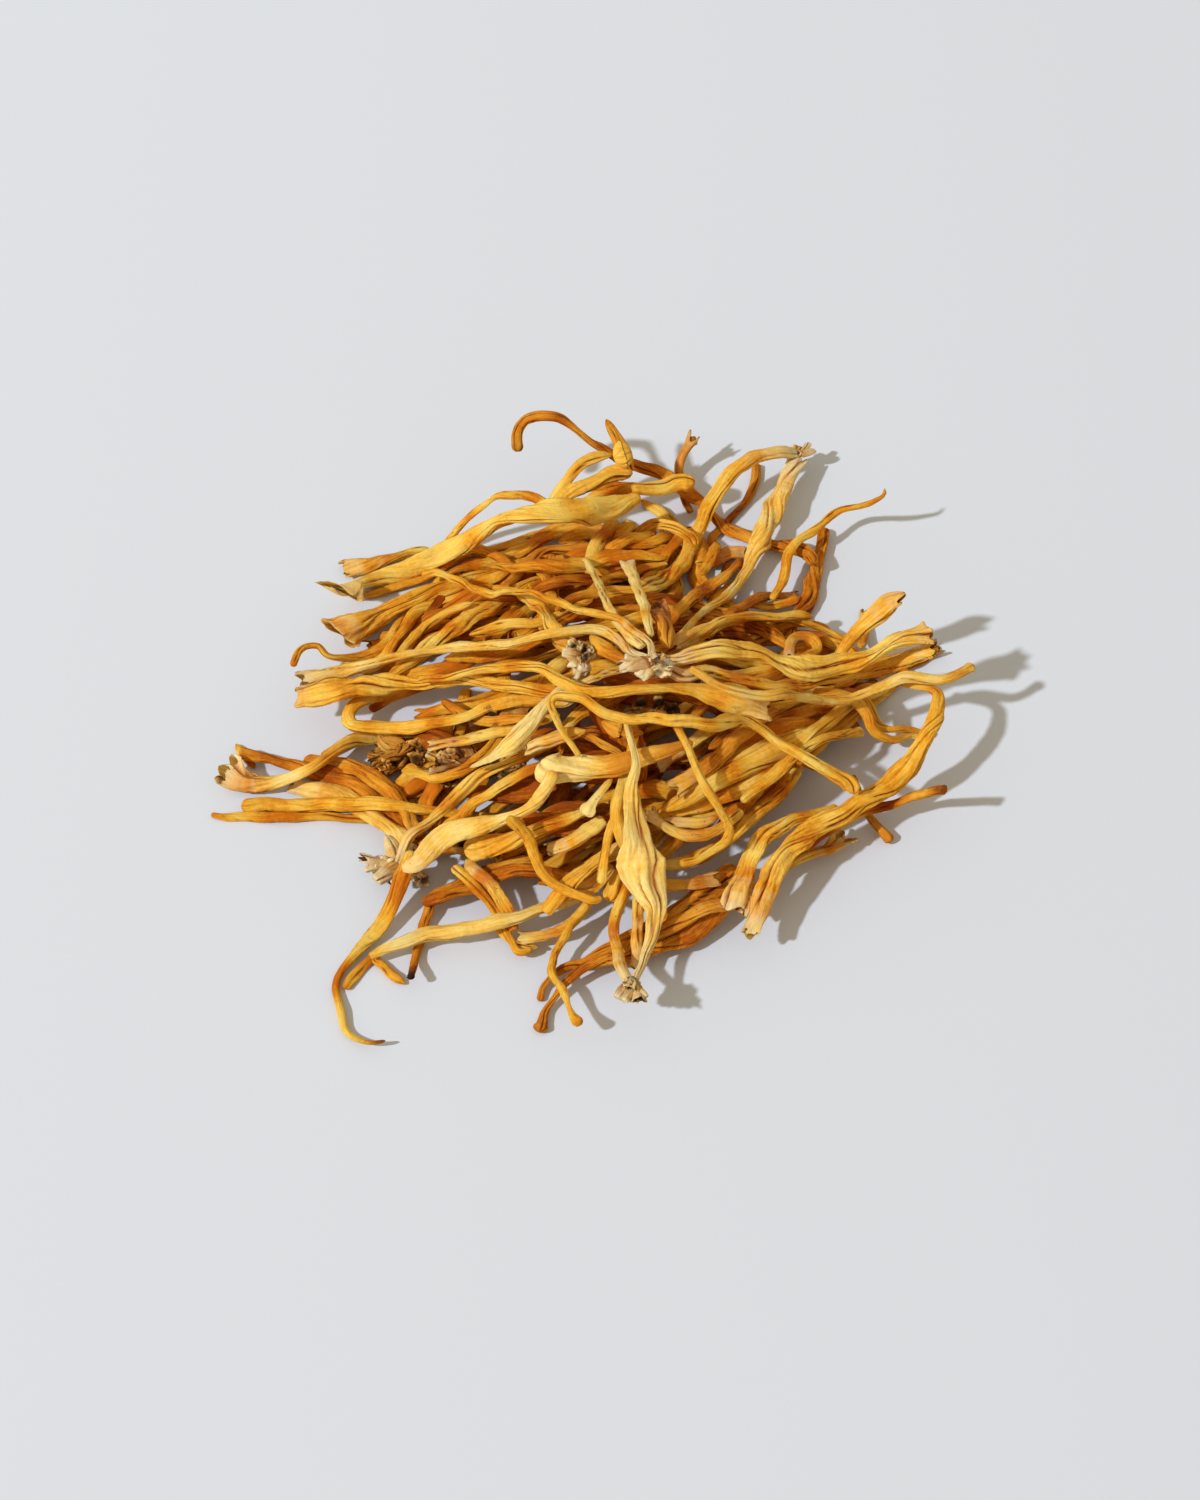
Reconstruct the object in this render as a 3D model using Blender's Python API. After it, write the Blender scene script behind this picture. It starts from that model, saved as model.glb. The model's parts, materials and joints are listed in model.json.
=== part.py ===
# Dried cordyceps: a hand-sized tangle of dried stalks and the pale feet they grew from.
# Each stalk lies over what is already down, as a springy rod would, so the heap's heights are worked
# out and only the plan route of each stalk is stated. Run: blender --background --python part.py
import bpy
import bmesh
import math
import random
import numpy as np
from mathutils import Matrix, Vector

mm = 0.001
sides = 6
restGap = 0.4          # mm of air kept between a stalk and what it lies on
longestStep = 6.5      # mm between rings on a straight stretch
sharpestTurn = 0.62    # radians of turn allowed between two rings
stiffness = 400.0      # how far a stalk bridges before it sags, in mm cubed
moundCentre = (4.0, 4.0)
moundReach = (62.0, 60.0)
moundHeight = 30.0
footCut = 0.8          # mm sliced off under the left foot, where it stands

# slot: sRGB colour, roughness
finishes = {
    "golden": ((226, 166, 66), 0.62),
    "deep_orange": ((190, 105, 28), 0.6),
    "pale_straw": ((238, 207, 138), 0.66),
    "foot_grey": ((196, 184, 156), 0.85),
}

# Plan routes in mm, lowest stalk first: x, y, width and, where an end or a bend stands clear of the
# heap, the least height there. layer says how deep in the mound it runs: 0 on the ground, 1 on top.
feetBelow = {
    "left_foot": dict(layer=0, slot="foot_grey", lump=True, route=[
        (-41.5, -21.5, 4), (-39, -21.5, 6.5), (-36, -22, 6.5), (-34, -21, 4)]),
}
stalks = {
    "left_low_orange": dict(layer=0.2, slot="deep_orange", route=[
        (-67.5, 5.5, 2.5, 3), (-61, 4.5, 2.5), (-46.5, -1, 4), (-40, -6.5, 4.5), (-30.5, -18, 2.5)]),
    "left_low_pale": dict(layer=0.15, slot="pale_straw", route=[
        (-70, 1, 2.5, 3), (-65, -1.5, 3), (-54.5, -0.5, 3), (-45, 8.5, 3), (-30.5, 12.5, 2)]),
    "left_runner": dict(layer=0.25, route=[
        (-66.5, -6.5, 3), (-57.5, -6, 3), (-38.5, -9.5, 2.5), (-29.5, -10.5, 2), (-13, -13, 1.5)]),
    "front_left_curl": dict(layer=0.1, route=[
        (-37.5, -60.5, 0.5, 2.5), (-41.5, -60, 1), (-45, -56, 1.5), (-46.5, -45, 1.5), (-38, -32.5, 3),
        (-34, -22, 2.5)]),
    "fan_edge": dict(layer=0.35, route=[
        (10, -25, 2), (16.5, -23.5, 2.5), (23, -19, 2.5), (28.5, -12.5, 3), (40, 3.5, 3),
        (47, 12.5, 2.5), (59.5, 27.5, 2)]),
    "right_brace": dict(layer=0.45, slot="deep_orange", route=[
        (46, -7.5, 1.5), (43.5, -5, 2), (29.5, 2, 2), (22, 4, 2)]),
    "right_front_small": dict(layer=0.3, route=[
        (45.5, -14.5, 3.5), (42, -18, 2.5), (36, -21, 2), (28, -28, 1.5)]),
    "black_tip": dict(layer=0.3, slot="deep_orange", route=[
        (-33.5, -48, 1, 4), (-33, -42, 1.5), (-31, -31.5, 2), (-28.5, -27.5, 2), (-17.5, -23.5, 2.5),
        (-10, -22, 2)]),
    "front_hook": dict(layer=0.35, route=[
        (-12, -40.5, 1, 1.5), (-14.5, -41, 1.5), (-16, -38, 1.5), (-20, -31, 2.5), (-26.5, -25, 2)]),
    "front_pale_ribbon": dict(layer=0.4, slot="pale_straw", route=[
        (-41, -42, 1.5), (-30.5, -38, 3), (-23.5, -37.5, 3), (-16, -36, 3), (-2.5, -29.5, 3.5),
        (2.5, -25.5, 2.5)]),
    "front_orange_upper": dict(layer=0.35, slot="deep_orange", route=[
        (25.5, -24.5, 2.5), (12, -35.5, 3.5), (0, -42, 2.5), (-5.5, -44, 2), (-9.5, -47, 1),
        (-10.5, -50.5, 1)]),
    "front_orange_lower": dict(layer=0.35, slot="deep_orange", route=[
        (23, -31, 2.5), (17.5, -36.5, 3), (5.5, -43, 2.5), (-0.5, -44.5, 2), (-6, -48, 1.5),
        (-9, -52.5, 1.5), (-10.5, -57.5, 2)]),
    "back_right_post": dict(layer=0.4, slot="deep_orange", route=[
        (45, 65, 2), (41, 46, 3.5), (38.5, 40, 2.5), (35.5, 30.5, 2)]),
    "back_hook": dict(layer=0.5, slot="deep_orange", route=[
        (-16, 72.5, 2.5, 13), (-16, 76, 2), (-14.5, 78.5, 2), (-11, 78.5, 2, 19), (-6, 78, 2),
        (0, 76, 2, 13), (8, 75, 2.5), (15.5, 73, 3, 7), (21, 70, 3), (26, 64.5, 2.5), (39.5, 57.5, 3),
        (42, 52, 2)]),
    "right_stub": dict(layer=0.5, route=[
        (57, 29, 2.5, 19.5), (54.5, 29, 4, 16.5), (47.5, 26.5, 2.5), (42, 20.5, 2)]),
    "left_crook": dict(layer=0.55, route=[
        (-58, 21.5, 1.5, 7), (-56.5, 26, 1.5), (-53.5, 27.5, 1.5, 8), (-50.5, 26, 1.5), (-42, 31.5, 3),
        (-35.5, 44.5, 2.5), (-30.5, 49, 2.5)]),
    "left_flared": dict(layer=0.6, route=[
        (-50, 32.5, 4.5, 6), (-45, 37.5, 4), (-39, 41.5, 3), (-26.5, 49, 3), (-18.5, 53, 3),
        (-11, 57.5, 2.5), (-2, 60.5, 2.5)]),
    "left_broad_arc": dict(layer=0.65, route=[
        (-39.5, 22, 2), (-23, 38, 4.5), (-18, 42, 3), (-11.5, 47, 2.5), (-5, 49.5, 2.5), (3, 51, 2.5)]),
    "left_u_turn": dict(layer=0.6, route=[
        (-40.5, 17.5, 2), (-44, 16.5, 2.5), (-47, 13, 3, 6), (-46, 9, 3), (-40, 8, 3), (-26, 6, 2.5),
        (-19.5, 7.5, 2.5), (-5.5, 6, 2)]),
    "left_foot_stalk": dict(layer=0.6, route=[
        (-34.5, -19.5, 2), (-24, -9.5, 2.5), (-17.5, -7, 2.5), (-4.5, -2.5, 1.5)]),
    "front_flat_pod": dict(layer=0.6, route=[
        (-24.5, -22, 3.5), (-19.5, -22, 5), (-13.5, -21.5, 4.5), (-2, -18, 1.5)]),
    "fan_broad": dict(layer=0.65, route=[
        (11.5, -18.5, 3.5), (18, -14.5, 3.5), (32, -3, 5), (39, 2.5, 3.5), (47, 13.5, 2.5), (54, 19, 2)]),
    "fan_narrow": dict(layer=0.7, route=[
        (26, -15.5, 1.5), (31, -10, 2.5), (39.5, -1.5, 2), (49, 7, 1.5)]),
    "right_front_stalk": dict(layer=0.6, route=[
        (24, -35, 2.5, 7), (28, -23.5, 3.5), (32.5, -18, 3), (44, -11, 2)]),
    "right_tail": dict(layer=0.6, slot="deep_orange", route=[
        (63, -12, 2, 13), (59, -9.5, 2), (49, -10.5, 2), (37.5, -21, 1.5)]),
    "back_arch": dict(layer=0.65, route=[
        (35.5, 79.5, 3, 8), (32.5, 78, 3), (29, 75.5, 3, 9), (24.5, 71, 3), (19, 61, 3), (16.5, 54, 3.5),
        (12, 45, 3.5), (6.5, 40, 3), (0, 37.5, 2.5)]),
    "back_club": dict(layer=0.65, route=[
        (6.5, 65.5, 2.5, 12), (11, 67, 3), (15.5, 69, 3.5), (19, 69, 3, 10)]),
    "front_foot_stalk": dict(layer=0.55, route=[
        (4.5, -50, 2, 8), (3, -42.5, 2), (3, -36.5, 2), (6.5, -27.5, 2)]),
    "front_thin_twist": dict(layer=0.5, route=[
        (-2, -33.5, 1.5), (-5, -37, 1.5), (-8.5, -45.5, 1.5), (-6.5, -50.5, 1.5), (-5, -55.5, 1),
        (-3.5, -59.5, 2, 6)]),
    "back_right_tip": dict(layer=0.65, route=[
        (56, 63.5, 0.5, 14), (55, 62.5, 1), (46.5, 63.5, 1.5), (37.5, 54.5, 2), (36, 48.5, 2),
        (33.5, 43, 1.5)]),
    "back_pale_ribbon": dict(layer=0.7, slot="pale_straw", route=[
        (38.2, 76.6, 3, 5), (35, 68, 4.5), (32, 58.5, 4), (29, 52, 2.5), (25, 41.5, 2),
        (20.5, 33.5, 1.5), (14, 19.5, 1.5)]),
    "right_arc": dict(layer=0.75, route=[
        (49, 33, 1.5), (38.5, 35.5, 1.5), (27.5, 32, 2.5), (17, 19.5, 2.5), (12, 14, 2)]),
    "right_loop": dict(layer=0.65, route=[
        (40, 11.5, 2), (46.5, 12, 2.5), (50, 10.5, 2.5), (51.5, 7.5, 2), (55, 7.5, 1.5),
        (59, 10.5, 1.5), (62, 9.5, 1.5)]),
    "back_curve": dict(layer=0.75, route=[
        (6, 60.5, 2.5), (11, 63, 2.5), (17.5, 58.5, 2.5), (19, 55.5, 2)]),
    "left_thin_arc": dict(layer=0.6, route=[
        (-32, 57, 1.5), (-29, 59, 1.5), (-24.5, 60, 1.5), (-19, 59.5, 1.5, 16), (-13.5, 58, 2),
        (-9.5, 55, 1.5)]),
    "left_big_upper": dict(layer=0.8, route=[
        (-50, 42, 4.5, 8), (-45, 49.5, 4), (-38, 53, 4), (-22.5, 56, 4.5), (-14.5, 52.5, 5),
        (-7.5, 52, 5), (0, 57.5, 5), (8, 63, 2.5)]),
    "back_bend": dict(layer=0.6, route=[
        (6.5, 69.5, 3.5, 12), (1.5, 67.5, 4, 13), (-3, 65, 3.5, 13), (-7, 63, 3, 12), (-9, 61.5, 2, 10)]),
    "pale_club": dict(layer=0.8, slot="pale_straw", route=[
        (-10, -11, 4, 20), (-7, -13, 5), (4.5, -12.5, 4), (17, -7.5, 1.5)]),
    "left_broad": dict(layer=0.75, route=[
        (-57, 15, 2.5, 6), (-51, 15.5, 4.5), (-43.5, 16.5, 4.5), (-36, 17, 2.5), (-27, 13, 2),
        (-10, 5, 2.5), (-2, 2, 2)]),
    "left_foot_velvet": dict(layer=0.75, slot="pale_straw", route=[
        (-32.5, -26, 3, 10), (-28, -22.5, 3.5), (-21.5, -21, 4), (-15.5, -21, 3), (-10.5, -19.5, 2.5),
        (-8, -16, 2.5)]),
    "front_wave": dict(layer=0.7, route=[
        (-16.5, -23.5, 2), (-13, -25, 2), (-9.5, -30.5, 2), (-1.5, -34.5, 1.5), (0.5, -34, 1)]),
    "front_wide_pale": dict(layer=0.85, slot="pale_straw", route=[
        (7, -49.5, 2, 8), (10, -37.5, 3), (7.5, -30, 5), (6, -20, 3.5), (6.5, -15, 2.5), (5, -5.5, 1.5)]),
    "middle_elbow": dict(layer=0.85, route=[
        (13.5, -6, 1.5), (18.5, -15.5, 1.5), (23.5, -23, 2), (18.5, -28, 1.5), (14.5, -29.5, 1.5)]),
    "right_big_ribbon": dict(layer=0.8, route=[
        (27, -40.5, 2, 7), (31, -29, 3.5), (36, -21.5, 4), (49.5, -11, 4, 9.5), (55.5, -5.5, 4.5),
        (60, -0.5, 3.5, 13), (63, 10, 2.5, 14), (55.5, 14.5, 1.5, 13)]),
    "cross_stalk": dict(layer=0.85, route=[
        (-20.5, 41.5, 1.5), (-15.5, 38.5, 2), (-10.5, 27.5, 2.5), (-7.5, 17, 3), (-2.5, 6, 2.5)]),
    "pale_blade": dict(layer=0.85, slot="pale_straw", route=[
        (-23.5, -9.5, 0.5, 16), (-18.5, -8.5, 2.5), (-14.5, -6, 3.5), (-7.5, 2, 1.5), (-4, 4.5, 1)]),
    "long_sweep": dict(layer=0.9, slot="pale_straw", route=[
        (-56.5, 19.5, 2.5, 7), (-50.5, 22.5, 3), (-42, 23.5, 2.5), (-33, 24, 2), (-16.5, 16.5, 2),
        (-10, 15, 2), (0.5, 15.5, 2.5), (6, 9.5, 2)]),
    "long_middle": dict(layer=0.92, route=[
        (-33.5, 14, 1.5), (-26, 10.5, 1.5), (-18.5, 9.5, 2), (-12.5, 7, 2), (-2, -0.5, 2.5),
        (12, 0.5, 2), (25, 1.5, 3.5), (31, 1.5, 3)]),
    "long_lower": dict(layer=0.88, route=[
        (-3.5, -12.5, 1), (-8, -5.5, 1.5), (-8, -2, 1.5), (-3.5, -2.5, 2), (2, -6, 2), (14.5, -8, 2.5),
        (21, -7, 2.5), (27, -2, 2), (36.5, -6.5, 2), (45, -10, 2.5), (46.5, -12.5, 2.5)]),
    "upright_cup": dict(layer=0.95, slot="pale_straw", route=[
        (5.5, 49, 2.5), (7, 34.5, 2), (8.5, 23, 2), (9.5, 13, 1.5)]),
    "knobby_long": dict(layer=0.97, route=[
        (-34.5, 48.5, 1.5), (-30.5, 47.5, 2), (-20.5, 35.5, 1.5), (-11.5, 29, 1.5), (-3, 21.5, 1.5),
        (3, 17.5, 1.5), (9.5, 10, 1.5)]),
    "right_twin": dict(layer=0.95, route=[
        (15, 3.5, 2.5), (20, 5.5, 2.5), (31.5, 7, 3), (38, 10.5, 2.5), (53.5, 17, 2.5), (62.5, 17, 3, 19)]),
    "right_thick": dict(layer=1, route=[
        (15, 6, 2.5), (18, 7.5, 3.5), (29.5, 11, 4), (37, 10.5, 4.5), (44.5, 13, 4), (52, 15.5, 3.5),
        (61.5, 18.5, 3.5, 22)]),
    "right_thin": dict(layer=0.95, slot="pale_straw", route=[
        (16.5, 3, 1.5), (22, 0.5, 1.5), (30, 0.5, 2), (38.5, 6, 2), (54, 12, 2), (64, 12, 2, 16),
        (70, 15.5, 1.5, 16)]),
}
feetAbove = {
    "cup_foot": dict(layer=0.5, slot="foot_grey", lump=True, route=[
        (-40.5, 4, 3), (-38.5, 3, 5), (-36, 1.5, 5), (-34, 0, 3)]),
    "inner_foot": dict(layer=0.88, slot="foot_grey", lump=True, route=[
        (-5, 10.5, 2), (-4, 9, 3.5), (-2.5, 7, 3.5), (-1.5, 5, 2)]),
    "front_foot": dict(layer=0, slot="foot_grey", lump=True, route=[
        (5.5, -51.5, 3.5, 7), (6, -53.5, 5), (6, -55.5, 4, 6)]),
    "back_foot": dict(layer=0, slot="foot_grey", lump=True, route=[
        (42.5, 82.5, 2.5, 5), (40.5, 82, 4, 5), (39, 80.5, 2.5, 5)]),
    "middle_foot": dict(layer=1, slot="foot_grey", lump=True, route=[
        (7, 3, 2.5), (8.5, 4, 5), (10.5, 5, 5), (12, 6, 2.5)]),
}


def linear(channel):
    c = channel / 255.0
    return c / 12.92 if c <= 0.04045 else ((c + 0.055) / 1.055) ** 2.4


def makeMaterials():
    made = {}
    for slot, (colour, roughness) in finishes.items():
        material = bpy.data.materials.new(slot)
        material.use_nodes = True
        shader = material.node_tree.nodes["Principled BSDF"]
        shader.inputs["Base Color"].default_value = [linear(c) for c in colour] + [1.0]
        shader.inputs["Roughness"].default_value = roughness
        shader.inputs["Metallic"].default_value = 0.0
        made[slot] = material
    return made


def thickness(width):
    # a narrow stalk is round, a wide one is a flattened ribbon
    return np.minimum(width, 0.7 + 0.55 * width)


def mound(x, y):
    across = (x - moundCentre[0]) / moundReach[0]
    along = (y - moundCentre[1]) / moundReach[1]
    reach = np.minimum(1.0, np.hypot(across, along))
    return moundHeight * np.cos(reach * math.pi / 2) ** 1.3


def smoothRoute(points):
    # a Catmull-Rom curve through the stated points; the second list says which point each is near
    rows = np.array([p[:3] for p in points], float)
    rows = np.vstack([2 * rows[0] - rows[1], rows, 2 * rows[-1] - rows[-2]])
    curve = []
    for a, b, c, d in zip(rows, rows[1:], rows[2:], rows[3:]):
        for t in np.linspace(0, 1, 12, endpoint=False):
            curve.append(0.5 * (2 * b + (c - a) * t + (2 * a - 5 * b + 4 * c - d) * t ** 2
                                + (3 * b - a - 3 * c + d) * t ** 3))
    curve.append(rows[-2])
    near = np.linspace(0, len(points) - 1, len(curve))
    return np.array(curve), near


def placeRings(curve, near):
    # rings stand closer together where the route bends
    steps = np.diff(curve[:, :2], axis=0)
    length = np.linalg.norm(steps, axis=1)
    turn = np.abs(np.diff(np.unwrap(np.arctan2(steps[:, 1], steps[:, 0]))))
    cost = length / longestStep
    cost[1:] += turn / 2 / sharpestTurn
    cost[:-1] += turn / 2 / sharpestTurn
    run = np.concatenate([[0.0], np.cumsum(cost)])
    at = np.linspace(0, run[-1], max(6, math.ceil(run[-1]) + 1))
    rings = np.array([np.interp(at, run, column) for column in curve.T]).T
    return rings, np.interp(at, run, near)


def rest(floor, step):
    # the lowest line of a stiff rod that stays on or above the floor height at each ring
    count = len(floor)
    slope = np.zeros((count - 1, count))
    for i in range(count - 1):
        slope[i, i] = -1 / step[i]
        slope[i, i + 1] = 1 / step[i]
    bend = slope[1:] - slope[:-1]
    between = (step[:-1] + step[1:]) / 2
    rod = stiffness * bend.T @ np.diag(1 / between) @ bend
    rod += slope.T @ np.diag(step) @ slope + 1e-4 * np.eye(count)
    weight = np.append(step, 0) / 2 + np.insert(step, 0, 0) / 2
    height = floor.copy()
    push = np.ones(count)
    before = None
    for _ in range(60):
        held = push > 10 * (height - floor)
        if not held.any():
            held[np.argmax(floor)] = True
        if before is not None and (held == before).all():
            break
        before = held
        free = ~held
        height = floor.copy()
        if free.any():
            load = -weight[free] - rod[np.ix_(free, held)] @ floor[held]
            height[free] = np.linalg.solve(rod[np.ix_(free, free)], load)
        push = rod @ height + weight
        push[free] = 0
    return np.maximum(height, floor)


def lay(piece, down):
    # rings of one piece: x, y, z, width, thickness in mm; down holds what already lies there
    curve, near = smoothRoute(piece["route"])
    rings, near = placeRings(curve, near)
    rings[:, 2] = np.maximum(rings[:, 2], 0.6)
    step = np.linalg.norm(np.diff(rings[:, :2], axis=0), axis=1)
    at = [i + k / max(2, math.ceil(s)) for i, s in enumerate(step) for k in range(max(2, math.ceil(s)))]
    at = np.array(at + [len(rings) - 1.0])
    fine = np.array([np.interp(at, np.arange(len(rings)), column) for column in rings.T]).T
    halfWide = fine[:, 2] / 2
    halfThick = 1.1 * thickness(fine[:, 2]) / 2
    floor = halfThick.copy()
    if len(down):
        apart = np.hypot(fine[:, None, 0] - down[None, :, 0], fine[:, None, 1] - down[None, :, 1])
        reach = halfWide[:, None] + down[None, :, 3] + restGap
        over = np.sqrt(np.clip(1 - (apart / reach) ** 2, 0, None))
        top = down[None, :, 2] + (halfThick[:, None] + down[None, :, 4] + restGap) * over
        floor = np.maximum(floor, np.where(apart < reach, top, -1).max(axis=1))
    needed = np.array([floor[np.abs(at - i) < 1].max() for i in range(len(rings))])
    needed = np.maximum(needed, piece["layer"] * mound(rings[:, 0], rings[:, 1]))
    for i, point in enumerate(piece["route"]):
        if len(point) == 4:
            ring = int(np.argmin(np.abs(near - i)))
            needed[ring] = max(needed[ring], point[3])
    height = rest(needed, step)
    fineHeight = np.interp(at, np.arange(len(rings)), height)
    laid = np.column_stack([fine[:, 0], fine[:, 1], fineHeight, halfWide, halfThick])
    return np.column_stack([rings[:, :2], height, rings[:, 2], thickness(rings[:, 2])]), laid


def addRing(bm, ring, along, count, capped):
    side = along.cross(Vector((0, 0, 1))).normalized()
    up = side.cross(along)
    turn = Matrix((side * ring[3] / 2, up * ring[4] / 2, along)).transposed().to_4x4()
    place = Matrix.Translation(Vector(ring[:3])) @ turn
    made = bmesh.ops.create_circle(bm, cap_ends=capped, cap_tris=capped, segments=count, radius=1.0,
                                   matrix=place)["verts"]
    if not capped:
        return made, None
    middle = min(made, key=lambda v: (v.co - Vector(ring[:3])).length)
    return [v for v in made if v is not middle], middle


def addTube(bm, rings, lump, rough):
    # a root end is cut and hollowed a little, a tip is rounded
    count = 8 if lump else sides
    loops = []
    for i, ring in enumerate(rings):
        along = Vector(rings[min(i + 1, len(rings) - 1)][:3] - rings[max(i - 1, 0)][:3]).normalized()
        last = i == len(rings) - 1
        loop, middle = addRing(bm, ring, along, count, i == 0 or last)
        if middle:
            middle.co += along * ring[3] * (0.4 if last else 0.22)
        if lump:
            for v in loop:
                v.co += (v.co - Vector(ring[:3])) * rough.uniform(-0.14, 0.14)
        loops.append(loop)
    for near, far in zip(loops, loops[1:]):
        for k in range(count):
            bm.faces.new((near[k], near[(k + 1) % count], far[(k + 1) % count], far[k]))
    bmesh.ops.recalc_face_normals(bm, faces=bm.faces)


def cutFlat(bm):
    # the foot that the heap stands on has a flat underside
    every = bm.verts[:] + bm.edges[:] + bm.faces[:]
    bmesh.ops.bisect_plane(bm, geom=every, plane_co=(0, 0, 0), plane_no=(0, 0, 1), clear_inner=True)
    bmesh.ops.holes_fill(bm, edges=[e for e in bm.edges if e.is_boundary])
    bmesh.ops.recalc_face_normals(bm, faces=bm.faces)


def makePiece(name, piece, down, materials, parent):
    rings, laid = lay(piece, down)
    bm = bmesh.new()
    if name == "left_foot":
        rings[:, 2] = rings[:, 4] / 2 - footCut
    addTube(bm, rings, piece.get("lump", False), random.Random(name))
    if name == "left_foot":
        cutFlat(bm)
    bmesh.ops.scale(bm, vec=(mm, mm, mm), verts=bm.verts)
    mesh = bpy.data.meshes.new(name)
    bm.to_mesh(mesh)
    bm.free()
    mesh.materials.append(materials[piece.get("slot", "golden")])
    item = bpy.data.objects.new(name, mesh)
    bpy.context.collection.objects.link(item)
    item.parent = parent
    return item, laid


def centreOnBox(parent, items):
    spots = [v.co for item in items for v in item.data.vertices]
    low = [min(s[i] for s in spots) for i in range(3)]
    high = [max(s[i] for s in spots) for i in range(3)]
    parent.location = (-(low[0] + high[0]) / 2, -(low[1] + high[1]) / 2, -low[2])


def main():
    for item in list(bpy.data.objects):
        bpy.data.objects.remove(item)
    materials = makeMaterials()
    parent = bpy.data.objects.new("tangle", None)
    bpy.context.collection.objects.link(parent)
    items = []
    down = np.zeros((0, 5))
    for group in (feetBelow, stalks, feetAbove):
        for name, piece in group.items():
            item, laid = makePiece(name, piece, down, materials, parent)
            down = np.vstack([down, laid])
            items.append(item)
    centreOnBox(parent, items)


main()
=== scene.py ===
# Dried cordyceps: the looks of a tangle of dried stalks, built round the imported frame.
import bpy
import bmesh
import json
import math
import random
import numpy as np
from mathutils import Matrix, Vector, noise
from mathutils.kdtree import KDTree

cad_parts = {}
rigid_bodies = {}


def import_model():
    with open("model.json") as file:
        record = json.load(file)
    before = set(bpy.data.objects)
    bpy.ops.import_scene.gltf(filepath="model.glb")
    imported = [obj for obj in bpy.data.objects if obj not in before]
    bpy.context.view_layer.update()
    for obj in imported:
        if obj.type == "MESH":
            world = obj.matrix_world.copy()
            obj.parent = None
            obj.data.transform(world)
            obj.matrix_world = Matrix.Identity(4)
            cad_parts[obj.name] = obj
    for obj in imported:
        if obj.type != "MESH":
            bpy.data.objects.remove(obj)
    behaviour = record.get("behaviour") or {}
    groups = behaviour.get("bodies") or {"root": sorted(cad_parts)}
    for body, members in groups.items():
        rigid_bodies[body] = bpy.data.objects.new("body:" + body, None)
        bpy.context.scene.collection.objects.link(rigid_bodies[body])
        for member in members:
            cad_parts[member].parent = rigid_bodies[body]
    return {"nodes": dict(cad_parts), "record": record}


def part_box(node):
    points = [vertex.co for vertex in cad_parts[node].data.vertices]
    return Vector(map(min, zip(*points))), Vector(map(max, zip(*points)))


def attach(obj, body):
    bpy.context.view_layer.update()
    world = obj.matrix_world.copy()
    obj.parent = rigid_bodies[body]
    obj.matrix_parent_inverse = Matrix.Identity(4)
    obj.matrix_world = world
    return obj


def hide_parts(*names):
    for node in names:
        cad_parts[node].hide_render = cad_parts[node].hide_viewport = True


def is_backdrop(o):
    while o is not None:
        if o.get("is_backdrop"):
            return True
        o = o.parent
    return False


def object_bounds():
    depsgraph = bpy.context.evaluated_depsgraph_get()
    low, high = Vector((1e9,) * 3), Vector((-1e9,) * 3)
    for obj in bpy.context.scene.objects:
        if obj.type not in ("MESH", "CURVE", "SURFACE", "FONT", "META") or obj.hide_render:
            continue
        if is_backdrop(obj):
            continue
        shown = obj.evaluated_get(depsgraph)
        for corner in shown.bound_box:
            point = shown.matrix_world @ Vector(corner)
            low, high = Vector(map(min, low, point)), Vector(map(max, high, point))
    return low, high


mm = 0.001

print("loading the frame")
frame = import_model()
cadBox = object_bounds()
nodes = frame["nodes"]

# the mound that the stalks lie over, in mm
mound = {"x": 4.3, "y": -7.6, "reachX": 62.0, "reachY": 60.0, "height": 30.0}


def moundHeight(x, y):
    across = (x - mound["x"]) / mound["reachX"]
    along = (y - mound["y"]) / mound["reachY"]
    return mound["height"] * np.cos(np.minimum(1.0, np.hypot(across, along)) * math.pi / 2) ** 1.3


# ---------------------------------------------------------------- materials
# each skin's crease colour is the painted shade of its folds and cracks
palettes = {
    "golden": {"light": (0.94, 0.61, 0.11), "middle": (0.88, 0.40, 0.025), "dark": (0.64, 0.165, 0.005),
               "crease_shade": (0.22, 0.028, 0.001), "root": (0.86, 0.64, 0.30)},
    "deep_orange": {"light": (0.86, 0.39, 0.035), "middle": (0.70, 0.22, 0.01), "dark": (0.38, 0.075, 0.003),
                    "crease_shade": (0.10, 0.012, 0.001), "root": (0.70, 0.42, 0.15)},
    "pale_straw": {"light": (0.94, 0.69, 0.22), "middle": (0.90, 0.51, 0.075), "dark": (0.74, 0.28, 0.02),
                   "crease_shade": (0.38, 0.09, 0.006), "root": (0.88, 0.70, 0.38)},
    "foot_grey": {"light": (0.90, 0.64, 0.26), "middle": (0.76, 0.42, 0.10), "dark": (0.42, 0.15, 0.025),
                  "crease_shade": (0.11, 0.026, 0.004), "root": (0.90, 0.70, 0.38)},
    "husk_brown": {"light": (0.84, 0.46, 0.09), "middle": (0.62, 0.25, 0.03), "dark": (0.27, 0.065, 0.006),
                   "crease_shade": (0.06, 0.012, 0.002), "root": (0.84, 0.58, 0.25)},
}
# the scales are those of the noise textures, finer as they grow
skin = {"roughness": 0.68, "subsurface": 0.06, "speckSize": 900.0, "fibres": 5.2, "blotches": 210.0,
        "wrinkles": 1250.0, "grain": 4200.0}


def link(tree, fromNode, fromSocket, toNode, toSocket):
    tree.links.new(fromNode.outputs[fromSocket], toNode.inputs[toSocket])


def addNode(tree, kind, **inputs):
    node = tree.nodes.new(kind)
    for name, value in inputs.items():
        node.inputs[name.replace("_", " ")].default_value = value
    return node


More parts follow.
